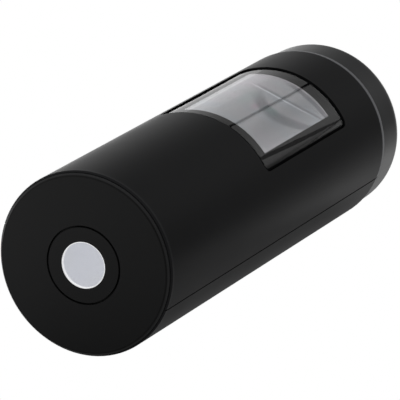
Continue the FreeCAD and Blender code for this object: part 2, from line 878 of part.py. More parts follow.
def board_parts():
    """Chips, the choke and the three connectors on the main board, each a solid of its own."""
    length = board_end - board_start
    solids = []
    for across, along, width, depth, height in board_part_shares:
        x = across * board_half_width
        y = board_start + along * length
        half_x = width * board_half_width / 2
        half_y = depth * length / 2
        top = board_top + height * tallest_board_part
        solids.append(block((x - half_x, x + half_x), (y - half_y, y + half_y), (board_top, top)))
    display_mouth = display_cable_y - cable_bend_r - fit_gap
    solids.append(connector(display_mouth, -connector_length, board_top, connector_height))
    solids.append(connector(board_start + fit_gap, connector_length, board_top, connector_height))
    solids.append(connector(board_start + fit_gap, under_connector_length, board_bottom, -connector_height))
    return Part.makeCompound(solids)


def connector(mouth, length, seat, height):
    """A flat cable's connector on a board, open at its mouth, with the sign of its length and height."""
    half = connector_width / 2
    level = seat + height / 2
    body = block((-half, half), (mouth, mouth + length), (seat, seat + height))
    grip = cable_thickness / 2 + thread_gap
    cable_half = cable_width / 2 + thread_gap
    inner_end = mouth + length - math.copysign(fit_gap, length)
    outer_end = mouth - math.copysign(cut_over, length)
    return body.cut(block((-cable_half, cable_half), (inner_end, outer_end), (level - grip, level + grip)))


def battery_cell():
    """The round rechargeable cell under the main board, with its raised front terminal."""
    edge = battery_edge_r
    corner = edge * (1 - math.sqrt(0.5))
    cell = turned([
        (0, battery_start - terminal_height),
        (terminal_r, battery_start - terminal_height),
        (terminal_r, battery_start),
        (battery_r - edge, battery_start),
        Bend((battery_r - corner, battery_start + corner), (battery_r, battery_start + edge)),
        (battery_r, battery_end - edge),
        Bend((battery_r - corner, battery_end - corner), (battery_r - edge, battery_end)),
        (0, battery_end),
    ])
    return cell.translated(point(0, 0, -battery_drop))


def battery_tabs():
    """The metal strips from the ends of the cell up to the main board."""
    half = tab_width / 2
    low = -battery_drop - half
    front = block((-half, half), (front_tab_y, front_tab_y + tab_thickness), (low, board_bottom))
    rear = block((-half, half), (battery_end, battery_end + tab_thickness), (low, board_bottom))
    return Part.makeCompound([front, rear])


def battery_pad():
    """The foam strip between the cell and the main board."""
    start = battery_start + battery_pad_end_gap
    end = battery_end - battery_pad_end_gap
    pad = slab(battery_pad_width / 2, start, end, -battery_drop, board_bottom)
    return pad.cut(round_bar(battery_r, battery_start, battery_end, z=-battery_drop))


def rear_cap():
    """The rounded cap that closes the rear end, with the button sleeve and board bosses inside."""
    seat = rear_bead_y - fit_gap
    seat_end = rear_bead_y + bead_width + fit_gap
    front_r = tube_r - rear_edge_drop
    edge_r = front_r - cap_taper
    edge_y = overall_length - cap_edge_length
    face_r = edge_r - cap_edge_height
    bulge = cap_edge_bulge_share
    bulge_r = face_r + cap_edge_height * bulge
    body = turned([
        (0, cap_front_y),
        (spigot_r, cap_front_y),
        (spigot_r, seat),
        (bead_seat_r, seat),
        (bead_seat_r, seat_end),
        (spigot_r, seat_end),
        (spigot_r, tube_end),
        (front_r, tube_end),
        (edge_r, edge_y),
        Bend((bulge_r, edge_y + cap_edge_length * bulge), (face_r, overall_length)),
        (dish_r, overall_length),
        (dish_r - cap_dish_slope, overall_length - cap_dish_depth),
        (0, overall_length - cap_dish_depth),
    ])
    hollow = round_bar(cap_inner_r, cap_front_y - cut_over, cap_roof_y)
    sleeve = band(sleeve_r, dish_r, sleeve_end_y, cap_roof_y)
    places = [on_circle(cap_boss_circle_r, angle) for angle in cap_boss_angles]
    bosses = [round_bar(cap_boss_r, rear_board_back_y, cap_roof_y, x, z) for x, z in places]
    hole_end = rear_board_back_y + cap_boss_hole_depth
    pilots = [round_bar(cap_boss_hole_r, rear_board_back_y - cut_over, hole_end, x, z) for x, z in places]
    slot_width = socket_width + 2 * socket_slot_gap
    outside = overall_length + cut_over
    slot = capsule(slot_width, 2 * slot_half_height, socket_drop, cap_roof_y - cut_over, outside)
    shell = joined([body.cut(hollow), sleeve] + bosses)
    bore = round_bar(sleeve_r, sleeve_end_y - cut_over, outside)
    return shell.cut([bore, slot] + pilots).removeSplitter()


def measure_button():
    """The round push button in the rear cap, a cup with a stop collar and a middle stem."""
    face_y = button_roof_y + button_roof
    rim_y = face_y - button_dome
    collar_r = button_r + button_collar
    collar_start = button_collar_y - button_collar_height
    return turned([
        (0, plunger_top_y),
        (stem_r, plunger_top_y),
        (stem_r, button_roof_y),
        (button_inner_r, button_roof_y),
        (button_inner_r, collar_start),
        (collar_r, collar_start),
        (collar_r, button_collar_y),
        (button_r, button_collar_y),
        (button_r, rim_y),
        dome(button_r, rim_y, face_y),
    ])


def rear_board():
    """The round board inside the rear cap that carries the switch and the socket."""
    disc = round_bar(rear_board_r, rear_board_y, rear_board_back_y)
    hole_r = rear_board_screw.shank_r + thread_gap
    through = (rear_board_y - cut_over, rear_board_back_y + cut_over)
    places = [on_circle(cap_boss_circle_r, angle) for angle in cap_boss_angles]
    return disc.cut([round_bar(hole_r, *through, x, z) for x, z in places])


def rear_board_screws():
    """The three screws that hold the round board to the bosses of the rear cap."""
    places = [on_circle(cap_boss_circle_r, angle) for angle in cap_boss_angles]
    screws = [screw(point(x, rear_board_y, z), AXIS, rear_board_screw) for x, z in places]
    return Part.makeCompound(screws)


def tact_switch():
    """The small square switch, with four legs on the round board."""
    half = switch_side / 2
    inner = half - switch_leg
    body = block((-half, half), (rear_board_back_y + switch_leg, switch_top_y), (-half, half))
    leg_ends = (rear_board_back_y, switch_top_y - switch_leg)
    corners = [(a, b) for a in (-1, 1) for b in (-1, 1)]
    legs = [block((a * inner, a * half), leg_ends, (b * inner, b * half)) for a, b in corners]
    floor_y = switch_top_y - plunger_root - button_travel - slide_gap
    well = round_bar(plunger_r + slide_gap, floor_y, switch_top_y + cut_over)
    return joined([body] + legs).cut(well)


def switch_plunger():
    """The switch's own round plunger, which the button's stem rests on."""
    return round_bar(plunger_r, switch_top_y - plunger_root, plunger_top_y)


def biarc(start, start_way, end, end_way):
    """Two arcs in space that leave one point and reach another along the given directions."""
    chord = end - start
    both = start_way + end_way
    spread = 2 * (1 - start_way.dot(end_way))
    reach = (math.sqrt(chord.dot(both) ** 2 + spread * chord.dot(chord)) - chord.dot(both)) / spread
    first = start + start_way * reach
    last = end - end_way * reach
    join = (first + last) * 0.5
    arcs = []
    for a, control, b in ((start, first, join), (join, last, end)):
        weight = (b - a).Length / (2 * reach)
        middle = (a + b + control * (2 * weight)) * (1 / (2 + 2 * weight))
        arcs.append(Part.Arc(a, middle, b).toShape())
    return arcs


def button_spring():
    """The wire spring round the button's stem, which stands on the switch and lifts the button."""
    low = switch_top_y + spring_wire_r
    high = button_roof_y - spring_wire_r
    rise = (high - low) / (2 * math.pi * spring_turns)
    steps = round(spring_turns * 4)

    def place(angle):
        return point(spring_r * math.cos(angle), low + rise * angle, spring_r * math.sin(angle))

    def way(angle):
        return point(-spring_r * math.sin(angle), rise, spring_r * math.cos(angle)).normalize()

    edges = []
    for number in range(steps):
        begin = number * math.pi / 2
        end = begin + math.pi / 2
        edges += biarc(place(begin), way(begin), place(end), way(end))
    ring = Part.Wire(Part.makeCircle(spring_wire_r, place(0), way(0)))
    return Part.Wire(edges).makePipeShell([ring], True, False)


def usb_socket():
    """The upright charging socket, whose mouth opens in the rear cap."""
    inner_width = socket_width - 2 * socket_shell
    inner_height = socket_height - 2 * socket_shell
    floor_y = rear_board_back_y + socket_base
    shell = capsule(socket_width, socket_height, socket_drop, rear_board_back_y, socket_mouth_y)
    room = capsule(inner_width, inner_height, socket_drop, floor_y, socket_mouth_y + cut_over)
    half = socket_tongue_width / 2
    low = -socket_drop - socket_tongue_thickness / 2
    ends = (floor_y - socket_shell, socket_mouth_y - socket_tongue_recess)
    tongue = block((-half, half), ends, (low, low + socket_tongue_thickness))
    return joined([shell.cut(room), tongue])


def board_header():
    """The pin header between the main board and the round board."""
    half = header_length / 2
    end = header_y + header_width
    body = block((-half, half), (header_y, end), (board_top, board_top + header_height))
    level = board_top + header_height / 2
    first = -pin_pitch * (header_pins - 1) / 2
    places = [first + pin_pitch * number for number in range(header_pins)]
    pins = [round_bar(pin_r, header_y, rear_board_y, place, level) for place in places]
    return joined([body] + pins)


PIECES = (
    front_shell, back_shell, shell_screws, front_plate, aperture_ring, sphere_front, sphere_rear,
    optics_screws, led_board, leds, detector_barrel, detector_lens, sensor_board, color_sensor,
    optics_cables, display_lens, lens_mask, display_panel, display_holder, holder_screws,
    display_cable, main_board, board_parts, board_header, battery_cell, battery_tabs, battery_pad,
    rear_cap, rear_board, rear_board_screws, usb_socket, tact_switch, switch_plunger,
    button_spring, measure_button,
)


def main():
    """Write each piece to a file of its own, resting on the bench with its window up."""
    os.makedirs("parts", exist_ok=True)
    bench = point(0, -overall_length / 2, tube_r)
    for piece in PIECES:
        shape = piece().translated(bench)
        shape.exportStep("parts/" + piece.__name__ + ".step")
        print(piece.__name__, len(shape.Solids), shape.isValid(), round(shape.Volume, 2))


if __name__ == "__main__":
    main()
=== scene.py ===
"""Looks of the handheld colour meter: camera, studio light, finishes and finely shaped pieces."""

import logging
import math
from collections.abc import Iterable
from dataclasses import dataclass
from enum import Enum
from typing import Union

import bmesh
import bpy
from mathutils import Matrix, Vector


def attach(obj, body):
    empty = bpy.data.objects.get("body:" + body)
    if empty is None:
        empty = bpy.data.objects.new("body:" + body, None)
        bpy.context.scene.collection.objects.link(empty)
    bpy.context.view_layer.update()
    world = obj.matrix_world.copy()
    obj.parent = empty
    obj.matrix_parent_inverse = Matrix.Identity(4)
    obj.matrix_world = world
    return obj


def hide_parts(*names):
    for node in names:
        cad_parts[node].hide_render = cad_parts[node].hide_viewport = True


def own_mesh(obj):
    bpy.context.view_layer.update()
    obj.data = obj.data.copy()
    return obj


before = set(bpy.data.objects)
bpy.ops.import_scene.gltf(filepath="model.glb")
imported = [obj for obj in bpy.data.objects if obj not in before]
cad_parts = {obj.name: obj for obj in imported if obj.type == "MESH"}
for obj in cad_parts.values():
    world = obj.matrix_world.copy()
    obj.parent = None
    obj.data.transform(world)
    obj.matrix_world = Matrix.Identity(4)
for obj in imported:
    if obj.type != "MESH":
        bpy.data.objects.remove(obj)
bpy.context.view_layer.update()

log = logging.getLogger("colour_meter")

Colour = tuple[float, float, float]
Place = tuple[float, float, float]
Span = tuple[float, float]
Value = Union["Wire", float, Colour]

MM = 0.001
TUBE_R = 16.5 * MM
AXIS_HEIGHT = TUBE_R
FACE_Y = -51.0 * MM
ORIGIN = (0.0, 0.0, 0.0)
BLACK = (0.0, 0.0, 0.0)
WHITE = (1.0, 1.0, 1.0)


# ---------------------------------------------------------------------------------------------
# Shader maths
# ---------------------------------------------------------------------------------------------


@dataclass
class Wire:
    """An output of a shader node that answers to Python's arithmetic."""

    bench: "Bench"
    socket: bpy.types.NodeSocket

    def _math(self, operation: str, first: Value, second: Value) -> "Wire":
        """Add one Math node."""
        return self.bench.add("ShaderNodeMath", {"operation": operation}, {0: first, 1: second})

    def __add__(self, other: Value) -> "Wire":
        """This value plus another."""
        return self._math("ADD", self, other)

    def __radd__(self, other: Value) -> "Wire":
        """Another value plus this one."""
        return self._math("ADD", other, self)

    def __sub__(self, other: Value) -> "Wire":
        """This value less another."""
        return self._math("SUBTRACT", self, other)

    def __rsub__(self, other: Value) -> "Wire":
        """Another value less this one."""
        return self._math("SUBTRACT", other, self)

    def __mul__(self, other: Value) -> "Wire":
        """This value times another."""
        return self._math("MULTIPLY", self, other)

    def __rmul__(self, other: Value) -> "Wire":
        """Another value times this one."""
        return self._math("MULTIPLY", other, self)

    def __truediv__(self, other: Value) -> "Wire":
        """This value divided by another."""
        return self._math("DIVIDE", self, other)

    def __pow__(self, other: Value) -> "Wire":
        """This value raised to a power."""
        return self._math("POWER", self, other)

    def absolute(self) -> "Wire":
        """This value without its sign."""
        return self._math("ABSOLUTE", self, 0.0)


class Bench:
    """The node tree of one material or of the world, with a shorter way to add nodes to it."""

    def __init__(self, name: str, world: bpy.types.World | None = None) -> None:
        """Start an empty tree.

        Args:
            name: The material's name.
            world: The world whose tree is filled instead of a new material's.
        """
        self.material = world or bpy.data.materials.new(name)
        self.material.use_nodes = True
        self.tree = self.material.node_tree
        self.tree.nodes.clear()

    def add(
        self,
        kind: str,
        settings: dict[str, object] | None = None,
        inputs: dict[int | str, Value] | None = None,
        output: int | str = 0,
    ) -> Wire:
        """Add one node.

        Args:
            kind: The node's type.
            settings: Properties that are set first; "stops" gives a ramp's stops.
            inputs: A value or a wire for each socket, by name or number.
            output: The socket that the wire starts from.

        Returns:
            A wire from the node's output.
        """
        node = self.tree.nodes.new(kind)
        for key, value in (settings or {}).items():
            if key == "stops":
                self._set_stops(node.color_ramp, value)
            else:
                setattr(node, key, value)
        for key, value in (inputs or {}).items():
            if isinstance(value, Wire):
                self.tree.links.new(value.socket, node.inputs[key])
            elif isinstance(value, tuple) and node.inputs[key].type == "RGBA":
                node.inputs[key].default_value = (*value[:3], 1.0)
            else:
                node.inputs[key].default_value = value
        return Wire(self, node.outputs[output] if node.outputs else None)

    @staticmethod
    def _set_stops(ramp: bpy.types.ColorRamp, stops: list[tuple[float, Colour]]) -> None:
        """Give a colour ramp its stops.

        Args:
            ramp: The ramp, which has two stops to start with.
            stops: Each stop's place from 0 to 1 and its colour.
        """
        while len(ramp.elements) < len(stops):
            ramp.elements.new(1.0)
        for element, (place, colour) in zip(ramp.elements, stops):
            element.position = place
            element.color = (*colour, 1.0)

    def place(self, centre: Place = ORIGIN) -> Wire:
        """Object coordinates, moved for one piece.

        Args:
            centre: The point that becomes the pattern's origin, in metres.

        Returns:
            The coordinates as a vector wire.
        """
        object_place = self.add("ShaderNodeTexCoord", output="Object")
        if centre == ORIGIN:
            return object_place
        settings = {"vector_type": "TEXTURE"}
        return self.add("ShaderNodeMapping", settings, {0: object_place, 1: centre})

    def split(self, vector: Wire) -> tuple[Wire, ...]:
        """The X, Y and Z parts of a vector wire."""
        node = self.add("ShaderNodeSeparateXYZ", None, {0: vector}).socket.node
        return tuple(Wire(self, output) for output in node.outputs)

    def noise(self, size: float, detail: float = 3.0, stretch: Place = (1.0, 1.0, 1.0)) -> Wire:
        """A noise from 0 to 1 whose patches have a given size.

        Args:
            size: The size of the patches in metres.
            detail: How many finer layers are added.
            stretch: How much longer the patches are along each axis.

        Returns:
            The noise as a value wire.
        """
        where = self.place()
        if stretch != (1.0, 1.0, 1.0):
            settings = {"operation": "MULTIPLY"}
            shrink = tuple(1.0 / length for length in stretch)
            where = self.add("ShaderNodeVectorMath", settings, {0: where, 1: shrink})
        sockets = {"Vector": where, "Scale": 1.0 / size, "Detail": detail}
        return self.add("ShaderNodeTexNoise", None, sockets)

    def rise(self, value: Wire, low: float, high: float) -> Wire:
        """A smooth rise from 0 at one value to 1 at another."""
        settings = {"interpolation_type": "SMOOTHSTEP"}
        return self.add("ShaderNodeMapRange", settings, {0: value, 1: low, 2: high})

    def stripe(self, value: Wire, half_width: float, soft: float) -> Wire:
        """One where a value is near zero, with soft sides."""
        return 1.0 - self.rise(value.absolute(), half_width, half_width + soft)

    def instrument(self) -> tuple[Wire, Wire, Wire]:
        """Where a point lies on the instrument.

        Returns:
            The angle from the display's middle in degrees, the distance from the measuring face
            and the distance from the axis, both in millimetres.
        """
        across, along, height = self.split(self.place((0.0, FACE_Y, AXIS_HEIGHT)))
        radius = (across * across + height * height) ** 0.5
        angle = self.add("ShaderNodeMath", {"operation": "ARCTAN2"}, {0: across, 1: height})
        return angle * math.degrees(1.0), along / MM, radius / MM

    def ramp(self, value: Wire, stops: list[tuple[float, Colour]]) -> Wire:
        """A colour ramp over a value."""
        return self.add("ShaderNodeValToRGB", {"stops": stops}, {0: value})

    def shades(self, value: Wire, stops: tuple[Span, ...]) -> Wire:
        """A grey that follows a value.

        Args:
            value: The value.
            stops: Values in rising order, each with its brightness.

        Returns:
            The grey as a wire.
        """
        first, last = stops[0][0], stops[-1][0]
        greys = [((at - first) / (last - first), (grey, grey, grey)) for at, grey in stops]
        return self.ramp((value - first) / (last - first), greys)

    def mix(self, share: Value, first: Value, second: Value) -> Wire:
        """A blend of two colours.

        Args:
            share: How much of the second colour shows.
            first: The colour at share 0.
            second: The colour at share 1.

        Returns:
            The blended colour.
        """
        settings = {"data_type": "RGBA"}
        return self.add("ShaderNodeMix", settings, {0: share, 6: first, 7: second}, output=2)

    def tone(self, share: Value, colour: Value, gain: Colour) -> Wire:
        """A colour that is multiplied by a gain where the share is one."""
        settings = {"data_type": "RGBA", "blend_type": "MULTIPLY"}
        return self.add("ShaderNodeMix", settings, {0: share, 6: colour, 7: gain}, output=2)

    def bump(self, height: Wire, depth: float) -> Wire:
        """A normal from a height between 0 and 1.

        Args:
            height: The height wire.
            depth: The real depth of the full height in metres.

        Returns:
            The bent normal.
        """
        sockets = {"Strength": 1.0, "Distance": depth, "Height": height}
        return self.add("ShaderNodeBump", None, sockets)

    def finish(self, sockets: dict[str, Value]) -> bpy.types.Material:
        """Close the tree with one Principled shader.

        Args:
            sockets: A value or a wire for each socket that isn't left at its default.

        Returns:
            The finished material.
        """
        shader = self.add("ShaderNodeBsdfPrincipled", None, sockets)
        self.add("ShaderNodeOutputMaterial", None, {"Surface": shader})
        return self.material


# ---------------------------------------------------------------------------------------------
# Finishes
# ---------------------------------------------------------------------------------------------


def shaded(colour: Colour, gain: float) -> Colour:
    """A colour made darker or lighter."""
    return tuple(part * gain for part in colour)


class Measure(Enum):
    """What a band on a surface is measured along, as a place in Bench.instrument's answer."""

    LENGTH = 1
    RADIUS = 2


@dataclass(frozen=True)
class Band:
    """A soft-edged band round the instrument, painted lighter or darker, in millimetres; the
    lighter bands are painted highlights on edges.
    """

    measure: Measure
    middle: float
    half_width: float
    soft: float
    gain: float


@dataclass(frozen=True)
class SatinPlastic:
    """Moulded plastic with a fine spark texture and slightly uneven gloss, with bands round the
    instrument painted lighter or darker: painted highlights on edges, and darker rings.
    """

    name: str
    colour: Colour
    roughness: float = 0.45
    specular: float = 0.3
    grain: float = 0.00016
    grain_depth: float = 0.000004
    unevenness: float = 0.12
    patch: float = 0.012
    gloss_range: float = 0.08
    edges: tuple[Band, ...] = ()

    def make(self) -> bpy.types.Material:
        """Build the material.

        Returns:
            The finished material.
        """
        bench = Bench(self.name)
        patches = bench.noise(self.patch, 4.0)
        darker = shaded(self.colour, 1.0 - self.unevenness)
        lighter = shaded(self.colour, 1.0 + self.unevenness)
        colour = bench.mix(patches, darker, lighter)
        # Bands painted over the colour: painted highlights on edges, and darker rings.
        for edge in self.edges:
            place = bench.instrument()[edge.measure.value]
            mask = bench.stripe(place - edge.middle, edge.half_width, edge.soft)
            colour = bench.mix(mask, colour, shaded(self.colour, edge.gain))
        return bench.finish(
            {
                "Base Color": colour,
                "Roughness": self.roughness - self.gloss_range / 2.0 + self.gloss_range * patches,
                "Specular IOR Level": self.specular,
                "Normal": bench.bump(bench.noise(self.grain, 2.0), self.grain_depth),
            }
        )


@dataclass(frozen=True)
class MattWhite:
    """The diffusing white of the integrating sphere, with a painted glow all over and a brighter
    painted glow near its mouth.
    """

    name: str
    colour: Colour = (0.93, 0.935, 0.945)
    # Painted glow over the whole sphere, standing in for the light inside it, in two tones.
    painted_glow: Colour = (0.0945, 0.0968, 0.1075)
    painted_glow_warm: Colour = (0.094, 0.095, 0.098)
    # A brighter painted glow near the mouth: a painted highlight on the bore's wall.
    rim: Colour = (0.3, 0.3, 0.3)
    rim_depth: float = 0.75
    mouth_r: float = 4.6
    blur: float = 0.3
    patch: float = 0.004
    grain: float = 0.0002
    grain_depth: float = 0.000003
    darker_gain: float = 0.97
    roughness: float = 0.8
    gloss_range: float = 0.1

    def make(self) -> bpy.types.Material:
        """Build the material.

        Returns:
            The finished material.
        """
        bench = Bench(self.name)
        patches = bench.noise(self.patch)
        _, along, radius = bench.instrument()
        in_front = 1.0 - bench.rise(along, self.rim_depth, self.rim_depth + self.blur)
        in_mouth = 1.0 - bench.rise(radius, self.mouth_r, self.mouth_r + self.blur)
        inner_glow = bench.mix(bench.rise(patches, 0.4, 0.6), self.painted_glow, self.painted_glow_warm)
        return bench.finish(
            {
                "Base Color": bench.mix(patches, shaded(self.colour, self.darker_gain), self.colour),
                "Roughness": self.roughness + self.gloss_range * patches,
                "Specular IOR Level": 0.1,
                # The emission is painted light: a faint glow everywhere and a brighter glow near
                # the mouth.
                "Emission Color": bench.mix(in_front * in_mouth, inner_glow, self.rim),
                "Emission Strength": 1.0,
                "Normal": bench.bump(bench.noise(self.grain), self.grain_depth),
            }
        )


@dataclass(frozen=True)
class ClearCover:
    """Clear moulded plastic or glass with a polished face."""

    name: str
    tint: Colour = (0.98, 0.98, 0.985)
    roughness: float = 0.004
    ior: float = 1.38
    patch: float = 0.01
    haze: float = 0.006

    def make(self) -> bpy.types.Material:
        """Build the material.

        Returns:
            The finished material.
        """
        bench = Bench(self.name)
        return bench.finish(
            {
                "Base Color": self.tint,
                "Roughness": self.roughness + self.haze * bench.noise(self.patch, 2.0),
                "IOR": self.ior,
                "Transmission Weight": 1.0,
            }
        )


@dataclass(frozen=True)
class PaintedReflectionArc:
    """A painted reflection on the display: a faint curved band made lighter or darker, as a
    parabola over its angle.

    Angles are in degrees from the display's middle, lengths in millimetres from the face.
    """

    angle: float
    apex: float
    rise: float
    half_width: float
    soft: float
    gain: Colour
    begins: float = -90.0
    ends: float = 90.0
    fade: float = 15.0

    def mask(self, bench: Bench, angle: Wire, along: Wire) -> Wire:
        """Where the arc shows.

        Args:
            bench: The display's tree.
            angle: The angle from the display's middle.
            along: The distance from the measuring face.

        Returns:
            One on the arc and zero beside it.
        """
        across = angle - self.angle
        off_line = along - self.apex - self.rise * across * across
        mask = bench.stripe(off_line, self.half_width, self.soft)
        mask = mask * bench.rise(angle, self.begins, self.begins + self.fade)
        return mask * (1.0 - bench.rise(angle, self.ends - self.fade, self.ends))


@dataclass(frozen=True)
class TintAndPaintedLight:
    """A soft oval that multiplies the display's colour, in the same degrees and millimetres:
    coloured ovals are tints in the films, grey ones are painted light and painted shade.
    """

    angle: float
    apex: float
    half_angle: float
    half_length: float
    gain: Colour

    def mask(self, bench: Bench, angle: Wire, along: Wire) -> Wire:
        """Where the tint shows.

        Args:
            bench: The display's tree.
            angle: The angle from the display's middle.
            along: The distance from the measuring face.

        Returns:
            One at the oval's middle and zero outside it.
        """
        across = (angle - self.angle) / self.half_angle
        down = (along - self.apex) / self.half_length
        return 1.0 - bench.rise(across * across + down * down, 0.0, 1.0)


@dataclass(frozen=True)
class DisplayGlass:
    """The switched-off display: a silvery film with faint tints in its layers, and painted
    reflections, painted light and painted shade laid on it as arcs and ovals.
    """

    name: str
    colour: Colour = (0.545, 0.55, 0.565)
    cool: Colour = (0.97, 1.0, 1.02)
    warm: Colour = (1.03, 0.99, 1.01)
    metallic: float = 0.75
    roughness: float = 0.035
    haze: float = 0.02
    patch: float = 0.011
    tints_and_painted_reflections: tuple[PaintedReflectionArc | TintAndPaintedLight, ...] = (
        # Painted reflections: darker arcs and one thin bright arc.
        PaintedReflectionArc(10.9, 58.8, 0.014, 0.9, 2.0, (0.64, 0.65, 0.66), -14.0),
        PaintedReflectionArc(0.6, 65.8, 0.0052, 0.1, 0.35, (1.45, 1.45, 1.45), -24.0, 32.0),
        PaintedReflectionArc(0.6, 66.7, 0.0052, 0.2, 0.5, (0.76, 0.76, 0.77), -22.0),
        PaintedReflectionArc(14.0, 73.25, 0.0016, 0.25, 1.0, (0.58, 0.58, 0.6), -8.0),
        # Tints in the films, green and pink.
        TintAndPaintedLight(10.0, 59.6, 7.0, 2.2, (0.88, 1.0, 0.97)),
        TintAndPaintedLight(-9.0, 60.0, 7.0, 5.0, (0.93, 1.02, 0.99)),
        TintAndPaintedLight(1.0, 57.5, 3.0, 2.5, (1.08, 0.94, 1.0)),
        # Painted shade over the right side and painted light over the left side.
        TintAndPaintedLight(23.0, 62.0, 16.0, 30.0, (0.7, 0.7, 0.71)),
        TintAndPaintedLight(-30.0, 60.0, 19.0, 90.0, (1.22, 1.22, 1.22)),
    )

    def make(self) -> bpy.types.Material:
        """Build the material.

        Returns:
            The finished material.
        """
        bench = Bench(self.name)
        angle, along, _ = bench.instrument()
        wash = bench.noise(self.patch, 2.0, (1.0, 0.5, 1.0))
        cool, warm = (
            tuple(part * gain for part, gain in zip(self.colour, gains))
            for gains in (self.cool, self.warm)
        )
        tint = bench.ramp(wash, [(0.35, cool), (0.5, self.colour), (0.65, warm)])
        # Lay the film's tints, and the painted reflections, light and shade, over the colour.
        for overlay in self.tints_and_painted_reflections:
            tint = bench.tone(overlay.mask(bench, angle, along), tint, overlay.gain)
        return bench.finish(
            {
                "Base Color": tint,
                "Metallic": self.metallic,
                "Roughness": self.roughness + self.haze * wash,
                "Specular IOR Level": 0.5,
            }
        )


@dataclass(frozen=True)
class BrightMetal:
    """Plated or drawn metal with fine lines and slightly uneven gloss."""

    name: str
    colour: Colour
    roughness: float = 0.3
    gloss_range: float = 0.16
    patch: float = 0.003
    line: float = 0.00012
    line_depth: float = 0.000002
    stretch: Place = (1.0, 1.0, 8.0)
    darker_gain: float = 0.8

    def make(self) -> bpy.types.Material:
        """Build the material.

        Returns:
            The finished material.
        """
        bench = Bench(self.name)
        lines = bench.noise(self.line, 3.0, self.stretch)
        patches = bench.noise(self.patch)
        return bench.finish(
            {
                "Base Color": bench.mix(patches, shaded(self.colour, self.darker_gain), self.colour),
                "Metallic": 1.0,
                "Roughness": self.roughness - self.gloss_range / 2.0 + self.gloss_range * patches,
                "Normal": bench.bump(lines, self.line_depth),
            }
        )


@dataclass(frozen=True)
class CircuitBoard:
    """Green solder resist that is raised over copper tracks."""

    name: str
    resist: Colour = (0.012, 0.075, 0.035)
    track: Colour = (0.03, 0.15, 0.06)
    cell: float = 0.0012 * 2.2
    tracks: float = 9.0
    track_rise: float = 0.00002
    roughness: float = 0.32
    gloss_range: float = 0.1
    patch: float = 0.004

    def make(self) -> bpy.types.Material:
        """Build the material.

        Returns:
            The finished material.
        """
        bench = Bench(self.name)
        sockets = {"Vector": bench.place(), "Scale": 1.0 / self.cell, "Randomness": 0.75}
        settings = {"distance": "CHEBYCHEV"}
        cells = bench.add("ShaderNodeTexVoronoi", settings, sockets, "Distance")
        settings = {"operation": "PINGPONG"}
        stripes = bench.add("ShaderNodeMath", settings, {0: cells * self.tracks, 1: 1.0})
        mask = bench.ramp(stripes, [(0.44, BLACK), (0.56, WHITE)])
        return bench.finish(
            {
                "Base Color": bench.mix(mask, self.resist, self.track),
                "Roughness": self.roughness + self.gloss_range * bench.noise(self.patch),
                "Coat Weight": 0.2,
                "Normal": bench.bump(mask, self.track_rise),
            }
        )


@dataclass(frozen=True)
class FilmCable:
    """Amber film with copper tracks that run along it."""

    name: str
    film: Colour = (0.42, 0.17, 0.03)
    copper: Colour = (0.6, 0.3, 0.12)
    pitch: float = 0.001
    track_rise: float = 0.00001
    roughness: float = 0.28
    gloss_range: float = 0.1
    patch: float = 0.003

    def make(self) -> bpy.types.Material:
        """Build the material.

        Returns:
            The finished material.
        """
        bench = Bench(self.name)
        across = bench.split(bench.place())[0]
        settings = {"operation": "PINGPONG"}
        wave = bench.add("ShaderNodeMath", settings, {0: across / self.pitch, 1: 0.5})
        mask = bench.ramp(wave, [(0.18, BLACK), (0.26, WHITE)])
        return bench.finish(
            {
                "Base Color": bench.mix(mask, self.film, self.copper),
                "Roughness": self.roughness + self.gloss_range * bench.noise(self.patch),
                "Normal": bench.bump(mask, self.track_rise),
            }
        )


@dataclass(frozen=True)
class Foam:
    """Soft grey foam with open pores, painted darker in their hollows as painted shade."""

    name: str
    colour: Colour = (0.12, 0.12, 0.125)
    pore: float = 0.0005
    pore_depth: float = 0.0001
    darker_gain: float = 0.4
    roughness: float = 0.95
    gloss_range: float = 0.1

    def make(self) -> bpy.types.Material:
        """Build the material.

        Returns:
            The finished material.
        """
        bench = Bench(self.name)
        sockets = {"Vector": bench.place(), "Scale": 1.0 / self.pore}
        pores = bench.add("ShaderNodeTexVoronoi", None, sockets, "Distance")
        return bench.finish(
            {
                # The pores' middles are darker: painted shade in their hollows.
                "Base Color": bench.mix(pores, shaded(self.colour, self.darker_gain), self.colour),
                "Roughness": self.roughness - self.gloss_range * pores,
                "Specular IOR Level": 0.2,
                "Normal": bench.bump(pores, self.pore_depth),
            }
        )


